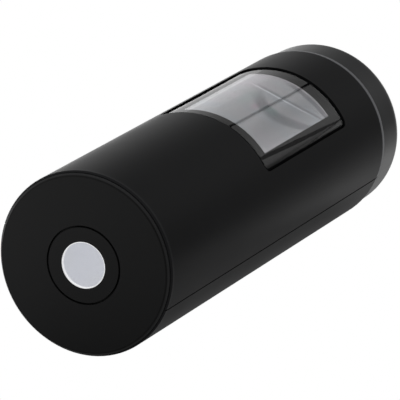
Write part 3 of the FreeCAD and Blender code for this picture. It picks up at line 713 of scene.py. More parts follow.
FINISHES = {
    finish.name: finish
    for finish in (
        SatinPlastic(
            "black_shell",
            (0.0072, 0.0073, 0.0077),
            0.36,
            0.035,
            edges=(
                # Painted highlight on the tube's rounded rear edge, a bright ring at 92 mm.
                Band(Measure.LENGTH, 92.0, 0.45, 0.35, 16.0),
                # Painted highlight on the tube's front edge, a lighter ring at 1.1 mm.
                Band(Measure.LENGTH, 1.1, 0.4, 0.3, 1.9),
            ),
        ),
        SatinPlastic(
            "black_plate",
            (0.009, 0.0091, 0.0093),
            0.5,
            0.1,
            edges=(
                # A darker ring at radius 15.7 mm, just inside the edge chamfer.
                Band(Measure.RADIUS, 15.7, 0.08, 0.1, 0.45),
                # Painted highlight on the plate's edge chamfer, a lighter ring at radius 16.15 mm.
                Band(Measure.RADIUS, 16.15, 0.2, 0.12, 2.3),
            ),
        ),
        SatinPlastic("black_cap", (0.0055, 0.0057, 0.0062), 0.29, 0.15),
        SatinPlastic("button_grey", (0.03, 0.032, 0.035), 0.4, 0.4),
        MattWhite("sphere_white"),
        ClearCover("clear_cover"),
        ClearCover("cover_underside", ior=1.02),
        SatinPlastic("mask_black", (0.006, 0.006, 0.0064), 0.5, 0.02, unevenness=0.05),
        DisplayGlass("display_grey"),
        SatinPlastic("holder_grey", (0.05, 0.05, 0.055), 0.55, 0.4),
        CircuitBoard("board_green"),
        SatinPlastic("chip_black", (0.015, 0.015, 0.016), 0.5, 0.4),
        ClearCover("lamp_white", (0.95, 0.93, 0.82), 0.12, 1.5),
        ClearCover("optic_glass", (0.96, 0.98, 1.0), 0.0, 1.52),
        FilmCable("cable_amber"),
        SatinPlastic("cell_sleeve", (0.02, 0.09, 0.24), 0.25, 0.5, 0.0006, 0.00001),
        BrightMetal("nickel", (0.66, 0.64, 0.6), 0.28),
        BrightMetal("screw_steel", (0.45, 0.45, 0.46), 0.35),
        BrightMetal("spring_steel", (0.5, 0.5, 0.5), 0.3),
        Foam("foam_grey"),
        SatinPlastic("ivory", (0.52, 0.48, 0.38), 0.45, 0.35, unevenness=0.03),
        BrightMetal("gilt", (0.75, 0.52, 0.2), 0.25),
        SatinPlastic("phosphor", (0.75, 0.6, 0.12), 0.6, 0.3, 0.0004, 0.000005),
        SatinPlastic("barrel_black", (0.01, 0.01, 0.01), 0.6, 0.2),
    )
}

MADE: dict[str, bpy.types.Material] = {}


def finish_of(name: str) -> bpy.types.Material:
    """The material of one slot or finish, made once.

    Args:
        name: The slot's or the finish's name.

    Returns:
        The material.
    """
    if name not in MADE:
        MADE[name] = FINISHES[name].make()
    return MADE[name]


# ---------------------------------------------------------------------------------------------
# Camera and studio
# ---------------------------------------------------------------------------------------------


@dataclass
class PhotoCamera:
    """The camera at the photograph's angle, from a fit to the tube's outlines.

    Its place is measured from the middle of the measuring face, in radii of the tube.
    """

    face_centre: Place = (0.0, FACE_Y, AXIS_HEIGHT)
    face_right: float = -1.208
    face_up: float = -0.676
    distance: float = 45.906
    right: Place = (0.84671, 0.4291, 0.31482)
    up: Place = (-0.44740, 0.2532, 0.85781)
    lens: float = 399.2
    sensor: float = 36.0
    nearest: float = 0.05
    farthest: float = 20.0

    def build(self) -> None:
        """Make the camera and hand it to the scene."""
        right = Vector(self.right).normalized()
        up = Vector(self.up)
        up = (up - right * up.dot(right)).normalized()
        back = right.cross(up)
        offset = right * self.face_right + up * self.face_up - back * self.distance
        data = bpy.data.cameras.new("photo_camera")
        data.sensor_width = self.sensor
        data.lens = self.lens
        data.clip_start = self.nearest
        data.clip_end = self.farthest
        camera = bpy.data.objects.new("photo_camera", data)
        bpy.context.scene.collection.objects.link(camera)
        place = Matrix.Translation(Vector(self.face_centre) - offset * TUBE_R)
        camera.matrix_world = place @ Matrix((right, up, back)).transposed().to_4x4()
        bpy.context.scene.camera = camera


def show(name: str, form: bmesh.types.BMesh) -> bpy.types.Object:
    """Close a form into a mesh and put it in the scene.

    Args:
        name: The name of the object and of its mesh.
        form: The form, which is freed.

    Returns:
        The object.
    """
    mesh = bpy.data.meshes.new(name)
    form.to_mesh(mesh)
    form.free()
    shown = bpy.data.objects.new(name, mesh)
    bpy.context.scene.collection.objects.link(shown)
    return shown


class Seen(Enum):
    """What a sheet of the studio is there for, as the kinds of ray that meet it."""

    BACKDROP = ("visible_camera",)
    LIGHT = ("visible_diffuse",)
    MIRRORED = ("visible_glossy", "visible_diffuse", "visible_transmission")


RAYS = ("visible_camera", "visible_diffuse", "visible_glossy", "visible_transmission")


def show_stage(name: str, form: bmesh.types.BMesh, glow: Bench, seen: Seen) -> None:
    """Put a part of the studio in the scene.

    Args:
        name: Its name.
        form: Its form.
        glow: The tree of its light.
        seen: The rays that meet it.
    """
    prop = show(name, form)
    prop.data.materials.append(glow.material)
    for ray in RAYS:
        setattr(prop, ray, ray in seen.value)
    prop.visible_shadow = False
    if seen is Seen.BACKDROP:
        glow.material.cycles.emission_sampling = "NONE"


@dataclass(frozen=True)
class Patch:
    """A brighter patch of a sheet, which rises and fades between these places in metres."""

    enters: float = 0.0
    full: float = 0.015
    fades: float = 0.04
    leaves: float = 0.07
    start: float = 0.045
    end: float = 0.078
    gain: float = 1.25

    def light(self, bench: Bench, across: Wire, along: Wire) -> Wire:
        """How much the patch multiplies the light.

        Args:
            bench: The sheet's tree.
            across: The place along X.
            along: The place along Y.

        Returns:
            One outside the patch and more inside it.
        """
        beside = bench.rise(across, self.enters, self.full)
        beside = beside * (1.0 - bench.rise(across, self.fades, self.leaves))
        return 1.0 + self.gain * bench.rise(along, self.start, self.end) * beside


@dataclass(frozen=True)
class Sheet:
    """A flat glowing sheet of the studio: its floor, a light or a dark flag.

    Its stops, where it has any, give its brightness along X, with one brighter patch. Its roll is
    in degrees.
    """

    name: str
    centre: Place
    facing: Place
    width: float
    height: float
    glow: float
    seen: Seen
    stops: tuple[Span, ...] = ()
    patch: Patch = Patch()
    roll: float = 0.0

    def build(self) -> None:
        """Make the sheet."""
        sheet = bmesh.new()
        bmesh.ops.create_grid(sheet, x_segments=1, y_segments=1, size=0.5)
        bmesh.ops.scale(sheet, vec=(self.width, self.height, 1.0), verts=sheet.verts)
        turn = Vector(self.facing).to_track_quat("Z", "Y").to_matrix().to_4x4()
        turn = turn @ Matrix.Rotation(math.radians(self.roll), 4, "Z")
        place = Matrix.Translation(self.centre) @ turn
        bmesh.ops.transform(sheet, matrix=place, verts=sheet.verts)
        show_stage(self.name, sheet, self.make_glow(), self.seen)

    def make_glow(self) -> Bench:
        """Make the sheet's light, which leaves only its front.

        Returns:
            The light's tree.
        """
        bench = Bench(self.name)
        strength: Value = self.glow
        if self.stops:
            across, along, _ = bench.split(bench.place())
            strength = bench.shades(across, self.stops) * self.glow
            strength = strength * self.patch.light(bench, across, along)
        glow = bench.add("ShaderNodeEmission", None, {"Strength": strength})
        clear = bench.add("ShaderNodeBsdfTransparent")
        behind = bench.add("ShaderNodeNewGeometry", output="Backfacing")
        both = bench.add("ShaderNodeMixShader", None, {0: behind, 1: glow, 2: clear})
        bench.add("ShaderNodeOutputMaterial", None, {"Surface": both})
        return bench


@dataclass
class Studio:
    """A plain pale floor and backdrop under plain soft light."""

    reach: float = 12.0
    floor_height: float = -0.5 * MM
    sky: tuple[Span, ...] = (
        (-1.0, 0.65), (-0.5, 0.68), (-0.471, 0.56), (-0.387, 0.43), (-0.257, 0.36),
        (-0.095, 0.42), (0.08, 0.55), (0.242, 0.68), (0.327, 0.55), (0.465, 0.08), (1.0, 0.3),
    )
    # The floor light is dimmest under and just beside the tube on the +X side, from 0.005 to 0.04
    # m: a painted shadow of the tube on the floor, seen in reflections.
    floor_stops: tuple[Span, ...] = (
        (-2.0, 1.0), (-0.45, 0.8), (-0.25, 0.78), (-0.1, 0.72), (-0.07, 0.95), (-0.05, 1.9),
        (-0.02, 1.0), (0.005, 0.3), (0.016, 0.26), (0.024, 0.33), (0.04, 0.55), (0.3, 0.6),
    )
    top_light: Sheet = Sheet(
        "top_light", (0.0, 0.0, 1.2), (0.0, 0.0, -1.0), 2.4, 2.4, 1.0, Seen.LIGHT
    )
    seam: Sheet = Sheet(
        "seam", (-0.1193, 0.561, 0.3049), (0.193, -0.8789, -0.4362), 0.016, 0.4, 0.0,
        Seen.MIRRORED, roll=56.2,
    )
    edge: Sheet = Sheet(
        "edge", (0.1945, 0.5608, 0.2616), (-0.2957, -0.8806, -0.3702), 0.013, 0.2, 0.16,
        Seen.MIRRORED, roll=22.9,
    )

    def build(self) -> None:
        """Make the world, the floor, the backdrop and the lights."""
        bpy.context.scene.view_settings.view_transform = "Standard"
        self.build_world()
        self.build_backdrop()
        side = 2.0 * self.reach
        lying = ((0.0, 0.0, self.floor_height), (0.0, 0.0, 1.0), side, side, 1.0)
        Sheet("floor", *lying, Seen.BACKDROP).build()
        Sheet("floor_light", *lying, Seen.MIRRORED, self.floor_stops).build()
        for sheet in (self.top_light, self.seam, self.edge):
            sheet.build()

    def build_world(self) -> None:
        """Make the surroundings, brighter on one side, as the glossy parts mirror them."""
        world = bpy.data.worlds.new("studio_world")
        bench = Bench("studio_world", world)
        across = bench.split(bench.add("ShaderNodeTexCoord", output="Generated"))[0]
        light = bench.shades(across, self.sky)
        glow = bench.add("ShaderNodeBackground", None, {"Color": light, "Strength": 1.0})
        bench.add("ShaderNodeOutputWorld", None, {"Surface": glow})
        bpy.context.scene.world = world

    def build_backdrop(self) -> None:
        """Make the plain backdrop that only the camera sees."""
        ball = bmesh.new()
        bmesh.ops.create_icosphere(ball, subdivisions=4, radius=self.reach)
        bench = Bench("backdrop")
        glow = bench.add("ShaderNodeEmission", None, {"Strength": 1.0})
        bench.add("ShaderNodeOutputMaterial", None, {"Surface": glow})
        show_stage("backdrop", ball, bench, Seen.BACKDROP)


# ---------------------------------------------------------------------------------------------
# Carried-over pieces
# ---------------------------------------------------------------------------------------------


class CarriedPieces:
    """The CAD nodes that are shown as they are, each dressed with its slot's finish."""

    def build(self) -> None:
        """Dress every CAD node in its slot's finish."""
        for name, node in sorted(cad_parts.items()):
            for material_slot in node.material_slots:
                material_slot.material = finish_of(material_slot.material.name)
            log.info("dressed %s", name)


# ---------------------------------------------------------------------------------------------
# New pieces
# ---------------------------------------------------------------------------------------------


# Distances in millimetres: how far off a height still counts as on it, and what is merged.
SLACK = 1e-4
MERGE = 5e-4


def above(parts: Iterable, height: float) -> list:
    """The edges or faces that lie wholly above a height."""
    return [part for part in parts if all(vert.co.z > height for vert in part.verts)]


class Workpiece:
    """A mesh in the making, shaped with bmesh operators in millimetres of the model's frame."""

    def __init__(self) -> None:
        """Start with no form."""
        self.form = bmesh.new()

    def move(self, across: float, along: float, height: float, verts: Iterable = ()) -> None:
        """Move some verts, or the whole form."""
        vec = (across, along, height)
        bmesh.ops.translate(self.form, vec=vec, verts=list(verts) or self.form.verts)

    def bevel(self, parts: list, width: float, segments: int) -> list:
        """Round edges or corners.

        Args:
            parts: The edges, or the corners' verts.
            width: The size of the rounding.
            segments: The pieces that it is rounded with.

        Returns:
            The verts of the rounding.
        """
        corners = isinstance(parts[0], bmesh.types.BMVert)
        made = bmesh.ops.bevel(
            self.form, geom=parts, offset=width, offset_type="OFFSET", segments=segments,
            profile=0.5, affect="VERTICES" if corners else "EDGES", material=-1,
            clamp_overlap=corners,
        )
        return made["verts"]

    def plate(self, width: float, depth: float, corner_r: float, steps: int) -> list:
        """Lay a flat plate on the X and Y axes, with its corners rounded.

        Args:
            width: The size along X.
            depth: The size along Y.
            corner_r: The radius of the corners.
            steps: The pieces that each corner is rounded with.

        Returns:
            The plate's faces.
        """
        grid = bmesh.ops.create_grid(self.form, x_segments=1, y_segments=1, size=0.5)
        bmesh.ops.scale(self.form, vec=(width, depth, 1.0), verts=grid["verts"])
        rounded = self.bevel(grid["verts"], corner_r, steps)
        return list({face for vert in rounded for face in vert.link_faces})

    def raise_faces(self, faces: list, height: float) -> None:
        """Extrude faces along Z into a closed body.

        Args:
            faces: The faces to raise.
            height: How far they go.
        """
        made = bmesh.ops.extrude_face_region(self.form, geom=faces, use_keep_orig=True)
        verts = [part for part in made["geom"] if isinstance(part, bmesh.types.BMVert)]
        self.move(0.0, 0.0, height, verts)

    def block(self, x: Span, y: Span, z: Span, edge: float) -> None:
        """Make a block with bevelled edges.

        Args:
            x: Its two ends along X, in any order.
            y: Its two ends along Y.
            z: Its two ends along Z.
            edge: The width of the bevels.
        """
        verts = bmesh.ops.create_cube(self.form, size=1.0)["verts"]
        spans = [sorted(span) for span in (x, y, z)]
        bmesh.ops.scale(self.form, vec=[high - low for low, high in spans], verts=verts)
        self.move(*((low + high) / 2.0 for low, high in spans), verts)
        self.bevel(list({link for vert in verts for link in vert.link_edges}), edge, 2)

    def turn(self, outline: list[Span], centre: Span, steps: int) -> None:
        """Spin an outline round an axis along Y.

        Args:
            outline: The outline's points, as radius and y.
            centre: The axis's place, as x and z.
            steps: The pieces of the full turn.
        """
        earlier = set(self.form.verts)
        verts = [self.form.verts.new((radius, along, 0.0)) for radius, along in outline]
        edges = [self.form.edges.new(pair) for pair in zip(verts, verts[1:])]
        bmesh.ops.spin(
            self.form, geom=verts + edges, cent=(0.0, 0.0, 0.0), axis=(0.0, 1.0, 0.0),
            angle=math.tau, steps=steps, use_merge=True,
        )
        around = [vert for vert in self.form.verts if vert not in earlier]
        self.move(centre[0], 0.0, centre[1], around)
        bmesh.ops.remove_doubles(self.form, verts=around, dist=MERGE)

    def bend_round_axis(self, radius: float) -> None:
        """Bend a flat piece round the instrument's axis and lift it to its place.

        Args:
            radius: The radius at which the flat piece's height 0 comes to lie.
        """
        for vert in self.form.verts:
            across, along, height = vert.co
            vert.co = (across, along, math.sqrt((radius + height) ** 2 - across**2))
        self.move(0.0, 0.0, AXIS_HEIGHT / MM)

    def finish(
        self,
        name: str,
        slot: str,
        replaces: tuple[str, ...] = (),
        finish: str = "",
        sharp: float = 35.0,
    ) -> bpy.types.Object:
        """Turn the form into a finished piece of the tube.

        Args:
            name: The piece's name.
            slot: The record's slot that it takes its finish from.
            replaces: The CAD nodes that it stands for.
            finish: The finish, where it isn't the slot's own.
            sharp: The angle in degrees from which edges stay sharp.

        Returns:
            The piece's object.
        """
        bmesh.ops.recalc_face_normals(self.form, faces=self.form.faces)
        bmesh.ops.scale(self.form, vec=(MM, MM, MM), verts=self.form.verts)
        piece = show(name, self.form)
        piece.data.shade_smooth()
        piece.data.set_sharp_from_angle(angle=math.radians(sharp))
        piece.data.materials.append(finish_of(finish or slot))
        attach(piece, "tube")
        if replaces:
            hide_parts(*replaces)
        return piece


class Side(Enum):
    """The places of a bent plate's materials."""

    FACE = 0
    WALL = 1
    UNDER = 2

    @classmethod
    def of(cls, face: bmesh.types.BMFace) -> "Side":
        """The side of a flat plate that a face belongs to."""
        if abs(face.normal.z) < 0.5:
            return cls.WALL
        return cls.UNDER if face.normal.z < 0.0 else cls.FACE


@dataclass(frozen=True)
class BentPlate:
    """A plate bent round the instrument's axis, with rounded corners and a rounded upper rim."""

    half_width: float
    start: float
    end: float
    top_r: float
    thickness: float
    corner_r: float
    edge_round: float
    strips: int = 22

    def form(self) -> Workpiece:
        """Shape the plate.

        Returns:
            The plate in its place.
        """
        work = Workpiece()
        form = work.form
        faces = work.plate(2.0 * self.half_width, self.end - self.start, self.corner_r, 6)
        work.raise_faces(faces, -self.thickness)
        bmesh.ops.recalc_face_normals(form, faces=form.faces)
        work.move(0.0, (self.start + self.end) / 2.0, 0.0)
        for face in form.faces:
            face.material_index = Side.of(face).value
        rim = [
            edge
            for edge in above(form.edges, -SLACK)
            if any(face.material_index == Side.WALL.value for face in edge.link_faces)
        ]
        work.bevel(rim, self.edge_round, 3)
        for step in range(1, self.strips):
            cut = (self.half_width * (2.0 * step / self.strips - 1.0), 0.0, 0.0)
            whole = form.verts[:] + form.edges[:] + form.faces[:]
            bmesh.ops.bisect_plane(form, geom=whole, plane_co=cut, plane_no=(1.0, 0.0, 0.0))
        work.bend_round_axis(self.top_r)
        return work

    def build(self, name: str, slot: str, wall: str, under: str, *nodes: str) -> bpy.types.Object:
        """Make the plate.

        Args:
            name: The piece's name.
            slot: The record's slot, whose finish the face has.
            wall: The finish of the side walls.
            under: The finish of the underside.
            nodes: The CAD nodes that it stands for.

        Returns:
            The piece's object.
        """
        piece = self.form().finish(name, slot, nodes, sharp=12.0)
        for finish in (wall, under):
            piece.data.materials.append(finish_of(finish))
        return piece


@dataclass
class DisplayWindow:
    """The clear curved cover with its inked edge, and the display's face film under it."""

    cover: BentPlate = BentPlate(10.95, -7.4, 26.85, 16.22, 0.78, 0.8, 0.16)
    film: BentPlate = BentPlate(8.31, -4.28, 23.73, 15.4, 0.27, 0.2, 0.03)

    def build(self) -> list[bpy.types.Object]:
        """Make the cover and the film.

        Returns:
            The two pieces.
        """
        cover = self.cover.build(
            "display_cover", "clear_cover", "mask_black", "cover_underside", "display_lens"
        )
        cover.visible_shadow = False
        return [cover, self.film.build("display_film", "display_grey", "mask_black", "mask_black")]


@dataclass
class ChargingSocket:
    """The charging socket: a folded metal shell, a dark tongue and gilt contacts."""

    width: float = 8.94
    height: float = 3.26
    shell: float = 0.28
    rim_round: float = 0.07
    back: float = 39.4
    floor: float = 42.4
    mouth: float = 50.2
    centre_z: float = 6.6
    tongue_width: float = 6.7
    tongue_height: float = 0.7
    tongue_end: float = 49.4
    root_length: float = 1.2
    root_step: float = 0.3
    contacts: int = 12
    contact_pitch: float = 0.5
    contact_width: float = 0.26
    contact_length: float = 4.6
    contact_inset: float = 0.35
    contact_rise: float = 0.04
    contact_sink: float = 0.01

    def build(self) -> list[bpy.types.Object]:
        """Make the shell, the tongue and the contacts."""
        return [self.make_shell(), self.make_tongue(), self.make_contacts()]

    def make_shell(self) -> bpy.types.Object:
        """Make the shell with a deep mouth and a rolled rim.

        Returns:
            The shell.
        """
        work = Workpiece()
        form = work.form
        length = self.mouth - self.back
        round_end = self.height / 2.0 - 2.0 * MERGE
        faces = work.plate(self.width, self.height, round_end, 10)
        work.raise_faces(faces, length)
        top = above(form.faces, length - SLACK)
        bmesh.ops.inset_region(form, faces=top, thickness=self.shell, use_even_offset=True)
        hole = max(above(form.faces, length - SLACK), key=lambda face: len(face.verts))
        made = bmesh.ops.extrude_discrete_faces(form, faces=[hole])
        work.move(0.0, 0.0, self.floor - self.mouth, made["faces"][0].verts)
        work.bevel(above(form.edges, length - SLACK), self.rim_round, 2)
        lay = Matrix.Rotation(-math.pi / 2.0, 3, "X")
        bmesh.ops.rotate(form, cent=(0.0, 0.0, 0.0), matrix=lay, verts=form.verts)
        work.move(0.0, self.back, self.centre_z)
        return work.finish("socket_shell", "nickel", ("usb_socket",))

    def make_tongue(self) -> bpy.types.Object:
        """Make the dark tongue with its stepped root.

        Returns:
            The tongue.
        """
        work = Workpiece()
        x = (-self.tongue_width / 2.0, self.tongue_width / 2.0)
        low, high = (self.centre_z + side * self.tongue_height / 2.0 for side in (-1.0, 1.0))
        work.block(x, (self.floor, self.tongue_end), (low, high), edge=0.1)
        root = (low - self.root_step, high + self.root_step)
        work.block(x, (self.floor, self.floor + self.root_length), root, edge=0.06)
        return work.finish("socket_tongue", "nickel", finish="chip_black")

    def make_contacts(self) -> bpy.types.Object:
        """Make the two rows of flat contacts on the tongue.

        Returns:
            The contacts.
        """
        work = Workpiece()
        end = self.tongue_end - self.contact_inset
        y = (end - self.contact_length, end)
        for side in (-1.0, 1.0):
            face = self.centre_z + side * self.tongue_height / 2.0
            low, high = sorted((face, face + side * self.contact_rise))
            for step in range(self.contacts):
                left = (step - (self.contacts - 1) / 2.0) * self.contact_pitch
                left -= self.contact_width / 2.0
                x = (left, left + self.contact_width)
                work.block(x, y, (low - self.contact_sink, high), edge=0.015)
        return work.finish("socket_contacts", "nickel", finish="gilt")


@dataclass
class LampSet:
    """The lamps behind the sphere, each a clear domed body on a flange with a lit chip in it.

    The chip and the cup that holds it are measured from the lamp's seat.
    """

    places: tuple[Span, ...] = ((3.9, 16.5), (-3.9, 16.5), (1.65, 12.97))
    radius: float = 1.5
    tip: float = -35.1
    seat: float = -32.6
    dome_steps: int = 8
    chip_half: float = 0.35
    chip: Span = (-0.75, -0.35)
    cup: tuple[Span, ...] = (
        (0.0, -0.35), (0.75, -0.35), (1.05, -0.8), (1.15, -0.8), (1.15, -0.1), (0.0, -0.1)
    )

    def build(self) -> list[bpy.types.Object]:
        """Make the domes and the chips in them.

        Returns:
            The two pieces.
        """
        domes, chips = Workpiece(), Workpiece()
        shoulder = self.tip + self.radius
        turns = [math.pi / 2.0 * step / self.dome_steps for step in range(1, self.dome_steps + 1)]
        dome = [(0.0, self.tip)]
        dome += [(self.radius * math.sin(t), shoulder - self.radius * math.cos(t)) for t in turns]
        dome += [(self.radius, self.seat), (0.0, self.seat)]
        cup = [(radius, self.seat + height) for radius, height in self.cup]
        chip = (self.seat + self.chip[0], self.seat + self.chip[1])
        for x, z in self.places:
            across, height = ((at - self.chip_half, at + self.chip_half) for at in (x, z))
            domes.turn(dome, (x, z), 40)
            chips.block(across, chip, height, edge=0.05)
            chips.turn(cup, (x, z), 32)
        return [
            domes.finish("lamp_domes", "lamp_white", ("leds",)),
            chips.finish("lamp_chips", "lamp_white", finish="phosphor"),
        ]


@dataclass
class BatteryCell:
    """The round cell in a shrunk sleeve, with its metal ends and raised terminal."""

    radius: float = 7.0
    start: float = -14.0
    end: float = 29.0
    centre: Span = (0.0, 9.6)
    edge: float = 0.8
    sleeve_lap: float = 1.1
    lip: float = 0.12
    inset: float = 0.13
    clearance: float = 0.05
    terminal_r: float = 2.75
    terminal_height: float = 1.0
    terminal_edge: float = 0.3
    terminal_root: float = 0.02
    base_flange: float = 1.0
    base_rim: float = 0.7
    steps: int = 72

    def build(self) -> list[bpy.types.Object]:
        """Make the sleeve and the metal can inside it."""
        return [self.make_sleeve(), self.make_can()]

    def corner(self, end: float, inwards: float) -> list[Span]:
        """Draw the sleeve's rounded corner at one end, from its side to its face.

        Args:
            end: The end's place along Y.
            inwards: 1 or -1, the way along Y that leads into the cell.

        Returns:
            The outline's points, as radius and y.
        """
        side, edge = self.radius - self.edge, self.edge
        turns = [math.pi / 12.0 * step for step in range(7)]
        return [
            (side + edge * math.cos(t), end + inwards * (edge - edge * math.sin(t)))
            for t in turns
        ]

    def make_sleeve(self) -> bpy.types.Object:
        """Make the sleeve, which laps over both ends in a thin lip.

        Returns:
            The sleeve.
        """
        work = Workpiece()
        inner = self.radius - self.edge
        lip_r = inner - self.sleeve_lap
        front, rear = self.start + self.lip, self.end - self.lip
        outline = [(lip_r, front), (lip_r, self.start)]
        outline += reversed(self.corner(self.start, 1.0))
        outline += self.corner(self.end, -1.0)
        outline += [(lip_r, self.end), (lip_r, rear), (inner, rear), (inner, front), (lip_r, front)]
        work.turn(outline, self.centre, self.steps)
        return work.finish("cell_wrap", "cell_sleeve", ("battery_cell",))

    def make_can(self) -> bpy.types.Object:
        """Make the metal can's ends, with the raised terminal at the front.

        Returns:
            The can.
        """
        work = Workpiece()
        inner = self.radius - self.edge - self.clearance
        front, rear = self.start + self.inset, self.end - self.inset
        nose = self.start - self.terminal_height
        outline = [
            (0.0, nose),
            (self.terminal_r - self.terminal_edge, nose),
            (self.terminal_r, nose + self.terminal_edge),
            (self.terminal_r, front - self.terminal_root),
            (inner, front),
            (inner, rear),
            (self.terminal_r + self.base_flange, rear),
            (self.terminal_r + self.base_rim, self.end),
            (0.0, self.end),
        ]
        work.turn(outline, self.centre, self.steps)
        return work.finish("cell_can", "cell_sleeve", finish="nickel")


@dataclass
class ButtonSpring:
    """The wire spring round the button's stem, which shortens as the button is pressed."""

    wire_r: float = 0.225
    mean_r: float = 2.145
    seat: float = 43.5
    roof: float = 48.7
    turns: float = 4.5
    travel: float = 0.5
    steps: int = 144

    def build(self) -> list[bpy.types.Object]:
        """Wind the spring.

        Returns:
            The spring, as a list of one.
        """
        work = Workpiece()
        form = work.form
        low, high = self.seat + self.wire_r, self.roof - self.wire_r
        bmesh.ops.create_circle(form, cap_ends=False, segments=12, radius=self.wire_r)
        work.move(self.mean_r, low, 0.0)
        bmesh.ops.spin(
            form, geom=form.verts[:] + form.edges[:], cent=(0.0, 0.0, 0.0), axis=(0.0, 1.0, 0.0),
            dvec=(0.0, (high - low) / self.steps, 0.0), angle=-math.tau * self.turns,
            steps=self.steps, use_merge=False,
        )
        bmesh.ops.holes_fill(form, edges=[edge for edge in form.edges if edge.is_boundary], sides=0)
        work.move(0.0, 0.0, AXIS_HEIGHT / MM)
        piece = work.finish("coil_spring", "spring_steel", ("button_spring",), sharp=60.0)
        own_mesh(piece)
        return [piece]


class Package(Enum):
    """How a part of the main board is made."""

    LEGGED = "a moulded body with a row of legs on both sides"
    CAPPED = "a moulded body between two metal ends"


@dataclass(frozen=True)
class BoardPart:
    """One part on the main board, placed by its share of the board's half width and length."""

    across: float
    along: float
    width: float
    depth: float
    height: float
    package: Package = Package.LEGGED


@dataclass(frozen=True)
class Connector:
    """A flat cable's connector, from its mouth along Y and from its seat along Z."""

    mouth: float
    length: float
    seat: float
    height: float = 1.3


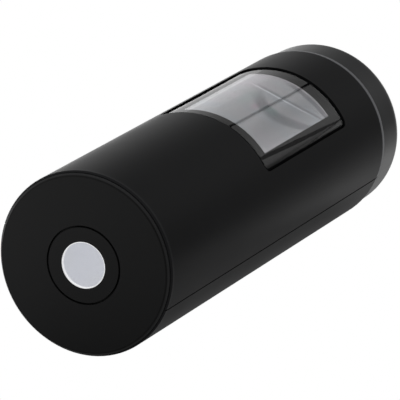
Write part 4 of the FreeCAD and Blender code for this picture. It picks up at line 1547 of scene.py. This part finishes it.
@dataclass
class BoardParts:
    """The parts on the main board: moulded bodies, metal legs and caps, and the connectors."""

    start: float = -21.0
    length: float = 56.0
    half_width: float = 13.6
    top: float = 19.0
    tallest: float = 2.0
    lift: float = 0.1
    cap_share: float = 0.45
    cap_proud: float = 0.03
    leg_reach: float = 0.5
    leg_share: float = 0.3
    leg_pitch: float = 0.8
    leg_width: float = 0.3
    leg_thickness: float = 0.12
    leg_heel: float = 0.1
    leg_bend: float = 0.2
    leg_sink: float = 0.05
    connector_half: float = 3.5
    slot_half: float = 2.62
    slot_lap: float = 0.05
    slot_gap: float = 0.1
    back_wall: float = 0.08
    latch_end: float = 0.7
    roof_start: float = 0.72
    feet: int = 9
    foot_pitch: float = 0.5
    foot_half: float = 0.1
    foot_length: float = 0.5
    parts: tuple[BoardPart, ...] = (
        BoardPart(0.00, 0.30, 0.50, 0.125, 0.45),
        BoardPart(0.46, 0.44, 0.30, 0.075, 0.40),
        BoardPart(-0.50, 0.40, 0.32, 0.080, 1.00, Package.CAPPED),
        BoardPart(-0.46, 0.56, 0.22, 0.055, 0.45),
        BoardPart(0.46, 0.57, 0.24, 0.045, 0.35),
        BoardPart(0.50, 0.68, 0.16, 0.030, 0.40, Package.CAPPED),
        BoardPart(-0.34, 0.24, 0.14, 0.022, 0.40, Package.CAPPED),
        BoardPart(0.34, 0.24, 0.14, 0.022, 0.40, Package.CAPPED),
        BoardPart(0.58, 0.26, 0.26, 0.065, 0.50),
        BoardPart(-0.55, 0.84, 0.18, 0.040, 0.90, Package.CAPPED),
    )
    connectors: tuple[Connector, ...] = (
        Connector(19.7, -3.0, 19.0),
        Connector(-20.9, 3.0, 19.0),
        Connector(-20.9, 1.5, 17.8, -1.3),
    )

    def build(self) -> list[bpy.types.Object]:
        """Make the moulded bodies, the metal, the connectors and their latches.

        Returns:
            The four pieces.
        """
        bodies, metal, housings, latches = (Workpiece() for _ in range(4))
        for part in self.parts:
            add = self.add_capped if part.package is Package.CAPPED else self.add_legged
            add(part, bodies, metal)
        for connector in self.connectors:
            self.add_connector(connector, housings, latches, metal)
        return [
            bodies.finish("board_packages", "chip_black", ("board_parts",)),
            metal.finish("board_legs", "chip_black", finish="nickel"),
            housings.finish("board_connectors", "chip_black", finish="ivory"),
            latches.finish("board_latches", "chip_black"),
        ]

    def place(self, part: BoardPart) -> tuple[float, float, float, float, float]:
        """Work out where a part lies.

        Args:
            part: The part.

        Returns:
            Its middle's x and y, its half width and half length, and its top's z.
        """
        x = part.across * self.half_width
        y = self.start + part.along * self.length
        half_x = part.width * self.half_width / 2.0
        half_y = part.depth * self.length / 2.0
        return x, y, half_x, half_y, self.top + part.height * self.tallest

    def add_capped(self, part: BoardPart, bodies: Workpiece, metal: Workpiece) -> None:
        """Add one part with metal ends.

        Args:
            part: The part.
            bodies: The moulded bodies.
            metal: The legs and ends.
        """
        x, y, half_x, half_y, top = self.place(part)
        cap = half_x * self.cap_share
        inner_x, inner_y = half_x - cap / 2.0, half_y - self.cap_proud
        bodies.block(
            (x - inner_x, x + inner_x), (y - inner_y, y + inner_y), (self.top, top), edge=0.06
        )
        for side in (-half_x, half_x):
            end = (x + side, x + side - math.copysign(cap, side))
            height = (self.top, top - self.cap_proud)
            metal.block(end, (y - half_y, y + half_y), height, edge=0.04)

    def add_legged(self, part: BoardPart, bodies: Workpiece, metal: Workpiece) -> None:
        """Add one part with a row of legs on both sides.

        Args:
            part: The part.
            bodies: The moulded bodies.
            metal: The legs and ends.
        """
        x, y, half_x, half_y, top = self.place(part)
        z = self.top
        body = half_x - min(self.leg_reach, half_x * self.leg_share)
        bodies.block(
            (x - body, x + body), (y - half_y, y + half_y), (z + self.lift, top), edge=0.08
        )
        count = int(2.0 * (half_y - self.leg_width) / self.leg_pitch) + 1
        for step in range(count):
            low = y + (step - (count - 1) / 2.0) * self.leg_pitch - self.leg_width / 2.0
            leg = (low, low + self.leg_width)
            for side in (-1.0, 1.0):
                foot = (x + side * (body + self.leg_heel), x + side * half_x)
                riser = (x + side * (body - self.leg_sink), x + side * (body + self.leg_bend))
                metal.block(foot, leg, (z, z + self.leg_thickness), edge=0.02)
                metal.block(riser, leg, (z + self.leg_sink, (z + top) / 2.0), edge=0.02)

    def add_connector(
        self, connector: Connector, housings: Workpiece, latches: Workpiece, metal: Workpiece
    ) -> None:
        """Add one connector: its tray, cheeks and back, the latch over its slot and its feet.

        Args:
            connector: The connector.
            housings: The moulded housings.
            latches: The latches.
            metal: The feet.
        """
        mouth, seat = connector.mouth, connector.seat
        back, lid = mouth + connector.length, seat + connector.height
        away = math.copysign(1.0, connector.length)
        up = math.copysign(1.0, connector.height)
        level = seat + connector.height / 2.0
        above_slot = level + up * self.slot_gap
        inner_half = self.slot_half + self.slot_lap
        inner = (-inner_half, inner_half)
        housings.block(inner, (mouth, back), (seat, level - up * self.slot_gap), edge=0.03)
        housings.block(inner, (back - away * self.back_wall, back), (seat, lid), edge=0.03)
        for side in (-1.0, 1.0):
            cheek = (side * self.slot_half, side * self.connector_half)
            housings.block(cheek, (mouth, back), (seat, lid), edge=0.05)
        latch = (mouth, mouth + self.latch_end * connector.length)
        latches.block(inner, latch, (above_slot, lid), edge=0.05)
        roof = (mouth + self.roof_start * connector.length, back)
        housings.block(inner, roof, (above_slot, lid - up * self.lift), edge=0.03)
        for step in range(self.feet):
            x = (step - (self.feet - 1) / 2.0) * self.foot_pitch
            sole = (x - self.foot_half, x + self.foot_half)
            heel = (back - away * self.foot_length, back)
            metal.block(sole, heel, (seat, seat + up * self.lift), edge=0.02)


def main() -> None:
    """Build the scene in order."""
    logging.basicConfig(level=logging.INFO, format="%(message)s")
    PhotoCamera().build()
    Studio().build()
    CarriedPieces().build()
    assemblies = (
        DisplayWindow(),
        ChargingSocket(),
        LampSet(),
        BatteryCell(),
        ButtonSpring(),
        BoardParts(),
    )
    for assembly in assemblies:
        for piece in assembly.build():
            log.info("made %s", piece.name)


if __name__ == "__main__":
    main()
